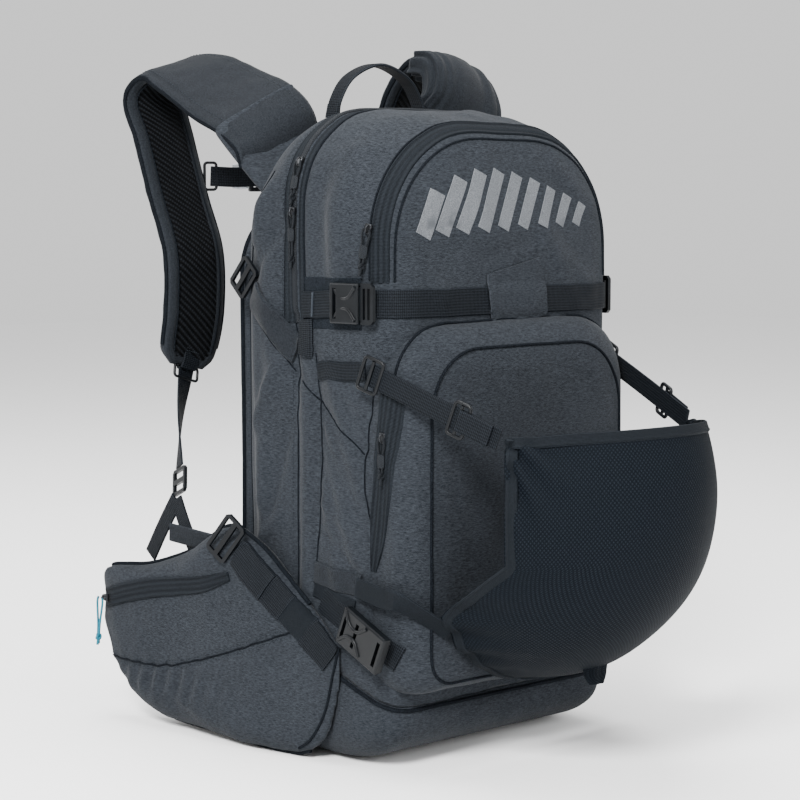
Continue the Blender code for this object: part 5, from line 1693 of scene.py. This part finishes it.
def make_sleeve():
    """The sleeve for a water bladder inside the back."""
    half, z_low, z_high, count = 0.100, 0.120, 0.470, 160
    rows = []
    for y, inset in ((0.0784, 0.004), (0.0798, 0.0), (0.0842, 0.0), (0.0856, 0.004)):
        rows.append(upright(y, outline(half - inset, z_low + inset, z_high - inset, 0.020, 0.020), count))
    obj = mesh_object("water_sleeve", np.vstack(rows), tube_faces(len(rows), count))
    tidy_mesh(obj)
    finish_piece(obj, "lining", "pack")
    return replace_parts(obj, "hydration_sleeve")


# Reflective print

# The bars' middles, as x and z, and their heights
PRINT_BARS = (
    (-0.096, 0.494, 0.040),
    (-0.072, 0.501, 0.050),
    (-0.048, 0.505, 0.054),
    (-0.024, 0.506, 0.054),
    (0.000, 0.505, 0.050),
    (0.024, 0.503, 0.044),
    (0.048, 0.500, 0.036),
    (0.071, 0.497, 0.028),
    (0.093, 0.493, 0.020),
)


def make_print(surface):
    """A band of broad slanting bars that get smaller towards one side."""
    for k, (x, z, tall) in enumerate(PRINT_BARS):
        lean, half = tall * 0.22, tall / 2
        path = straight((x - lean, -0.125, z - half), (x + lean, -0.125, z + half), 0.003)
        sweep(f"print_bar_{k}", path, flat_section(0.0175 - 0.0008 * k, 0.00030, 8), "reflective",
              "front_panel", surface=surface, lift=0.00015)


# Moulded parts that keep their CAD form

RIB_BEND = ((-0.0150, 0.0150), (-0.0060, 0.0060), (0.0050, 0.0050), (0.0150, 0.0145))


def make_buckle_ribs():
    """The waisted ribs over the closed buckles on the sides."""
    slope = unit(np.array([0.0, -0.095, -0.0413]))
    for side_name, side in SIDES.items():
        out = np.array([side, 0.0, 0.0])
        places = {
            "upper": (np.array([side * 0.1566, -0.0735, UPPER_STRAP_Z]), np.array([0.0, -1.0, 0.0])),
            "lower": (np.array([side * 0.1602, -0.0880, 0.1254]), slope),
        }
        for label, (middle, along) in places.items():
            across = np.cross(along, out)
            for way_name, way in (("b", -1), ("a", 1)):
                line = smooth([middle + along * u + across * way * v for u, v in RIB_BEND], 0.0015)
                sweep(f"{label}_rib_{side_name}_{way_name}", line, round_section(0.0019, 10), "plastic",
                      "front_panel", normal=out)


def keep_plastics():
    """Material and soft edges for the buckles, and material for the foam protector."""
    for name, obj in frame["nodes"].items():
        if any(key in name for key in ("buckle", "triglide", "adjuster")):
            material = "plastic"
            add_modifier(obj, "BEVEL", width=0.0006, segments=2, limit_method="ANGLE")
        elif name == "back_protector":
            material = "foam"
        else:
            continue
        obj.data.materials.clear()
        obj.data.materials.append(MATERIALS[material])


# Studio

# Lamps aimed at the pack's middle: place, size and power
LAMPS = {
    "key": ((-2.2, -1.3, 2.2), 0.9, 260.0),
    "fill": ((0.6, -2.6, 1.4), 1.6, 60.0),
    "top": ((0.2, 0.2, 2.8), 1.4, 90.0),
    "edge": ((-1.2, 2.2, 1.6), 1.2, 40.0),
}
LAMP_TARGET = Vector((0.0, 0.0, 0.30))


def make_studio():
    """A pale floor, a white world and four soft lamps."""
    z = -0.0005
    floor = mesh_object("studio_floor", [(-6, -6, z), (6, -6, z), (6, 6, z), (-6, 6, z)], [(0, 1, 2, 3)])
    paint = Shader("floor")
    paint.set(paint.shader, {"Base Color": (0.93, 0.93, 0.93, 1.0)})
    floor.data.materials.append(paint.material)
    world = bpy.data.worlds.new("studio")
    world.use_nodes = True
    background = world.node_tree.nodes["Background"]
    background.inputs["Color"].default_value = (1.0, 1.0, 1.0, 1.0)
    background.inputs["Strength"].default_value = 1.0
    bpy.context.scene.world = world
    for name, (place, size, power) in LAMPS.items():
        light = bpy.data.lights.new(name, "AREA")
        light.energy = power
        light.size = size
        lamp = bpy.data.objects.new(name, light)
        bpy.context.scene.collection.objects.link(lamp)
        lamp.location = place
        lamp.rotation_euler = (LAMP_TARGET - Vector(place)).to_track_quat("-Z", "Y").to_euler()


def make_camera():
    """A camera before the pack's left front corner, a little above its middle."""
    forward = Vector((0.66614, 0.73982, -0.09446)).normalized()
    right = Vector((0.74314, -0.66913, 0.0)).normalized()
    up = right.cross(forward)
    data = bpy.data.cameras.new("view")
    data.lens = 94.8
    data.sensor_width = 36.0
    camera = bpy.data.objects.new("view", data)
    bpy.context.scene.collection.objects.link(camera)
    turn = Matrix((right, up, -forward)).transposed().to_4x4()
    camera.matrix_world = Matrix.Translation((-1.3517, -1.4742, 0.506)) @ turn
    bpy.context.scene.camera = camera


def main():
    keep_plastics()
    body = make_body()
    make_shells(body)
    pocket = make_pocket()
    surface = surface_of(body, pocket)
    make_main_zip(surface)
    make_front_zip(surface)
    make_pocket_zips(surface)
    make_side_seams(surface)
    make_base_seam(surface)
    make_upper_strap(surface)
    make_sleeve_patch()
    make_print(surface)
    for side_name, stations in STRAPS.items():
        make_strap(f"{side_name}_strap", stations, f"shoulder_strap_{side_name}")
        strap_stitches(f"{side_name}_strap_stitches", stations)
        make_strap_trim(f"{side_name}_strap", stations)
        make_strap_root(f"{side_name}_strap_root", stations, surface)
        make_strap_webbing(side_name, stations)
    make_strap_cover()
    make_haul_loop()
    make_sternum_strap()
    make_net()
    for side_name in SIDES:
        make_side_strap(side_name, surface)
        make_gear_strap(side_name, surface)
        make_lower_straps(side_name, surface)
        belt = make_belt(side_name)
        make_belt_details(side_name, belt)
        make_stabiliser(side_name, belt)
        make_stay_straps(side_name)
        make_belt_webbing(side_name)
        make_net_straps(side_name)
        make_lower_net_strap(side_name)
    make_buckle_ribs()
    make_sliders()
    make_back_panel()
    make_sleeve()
    bpy.data.objects.remove(body, do_unlink=True)
    make_studio()
    make_camera()


main()
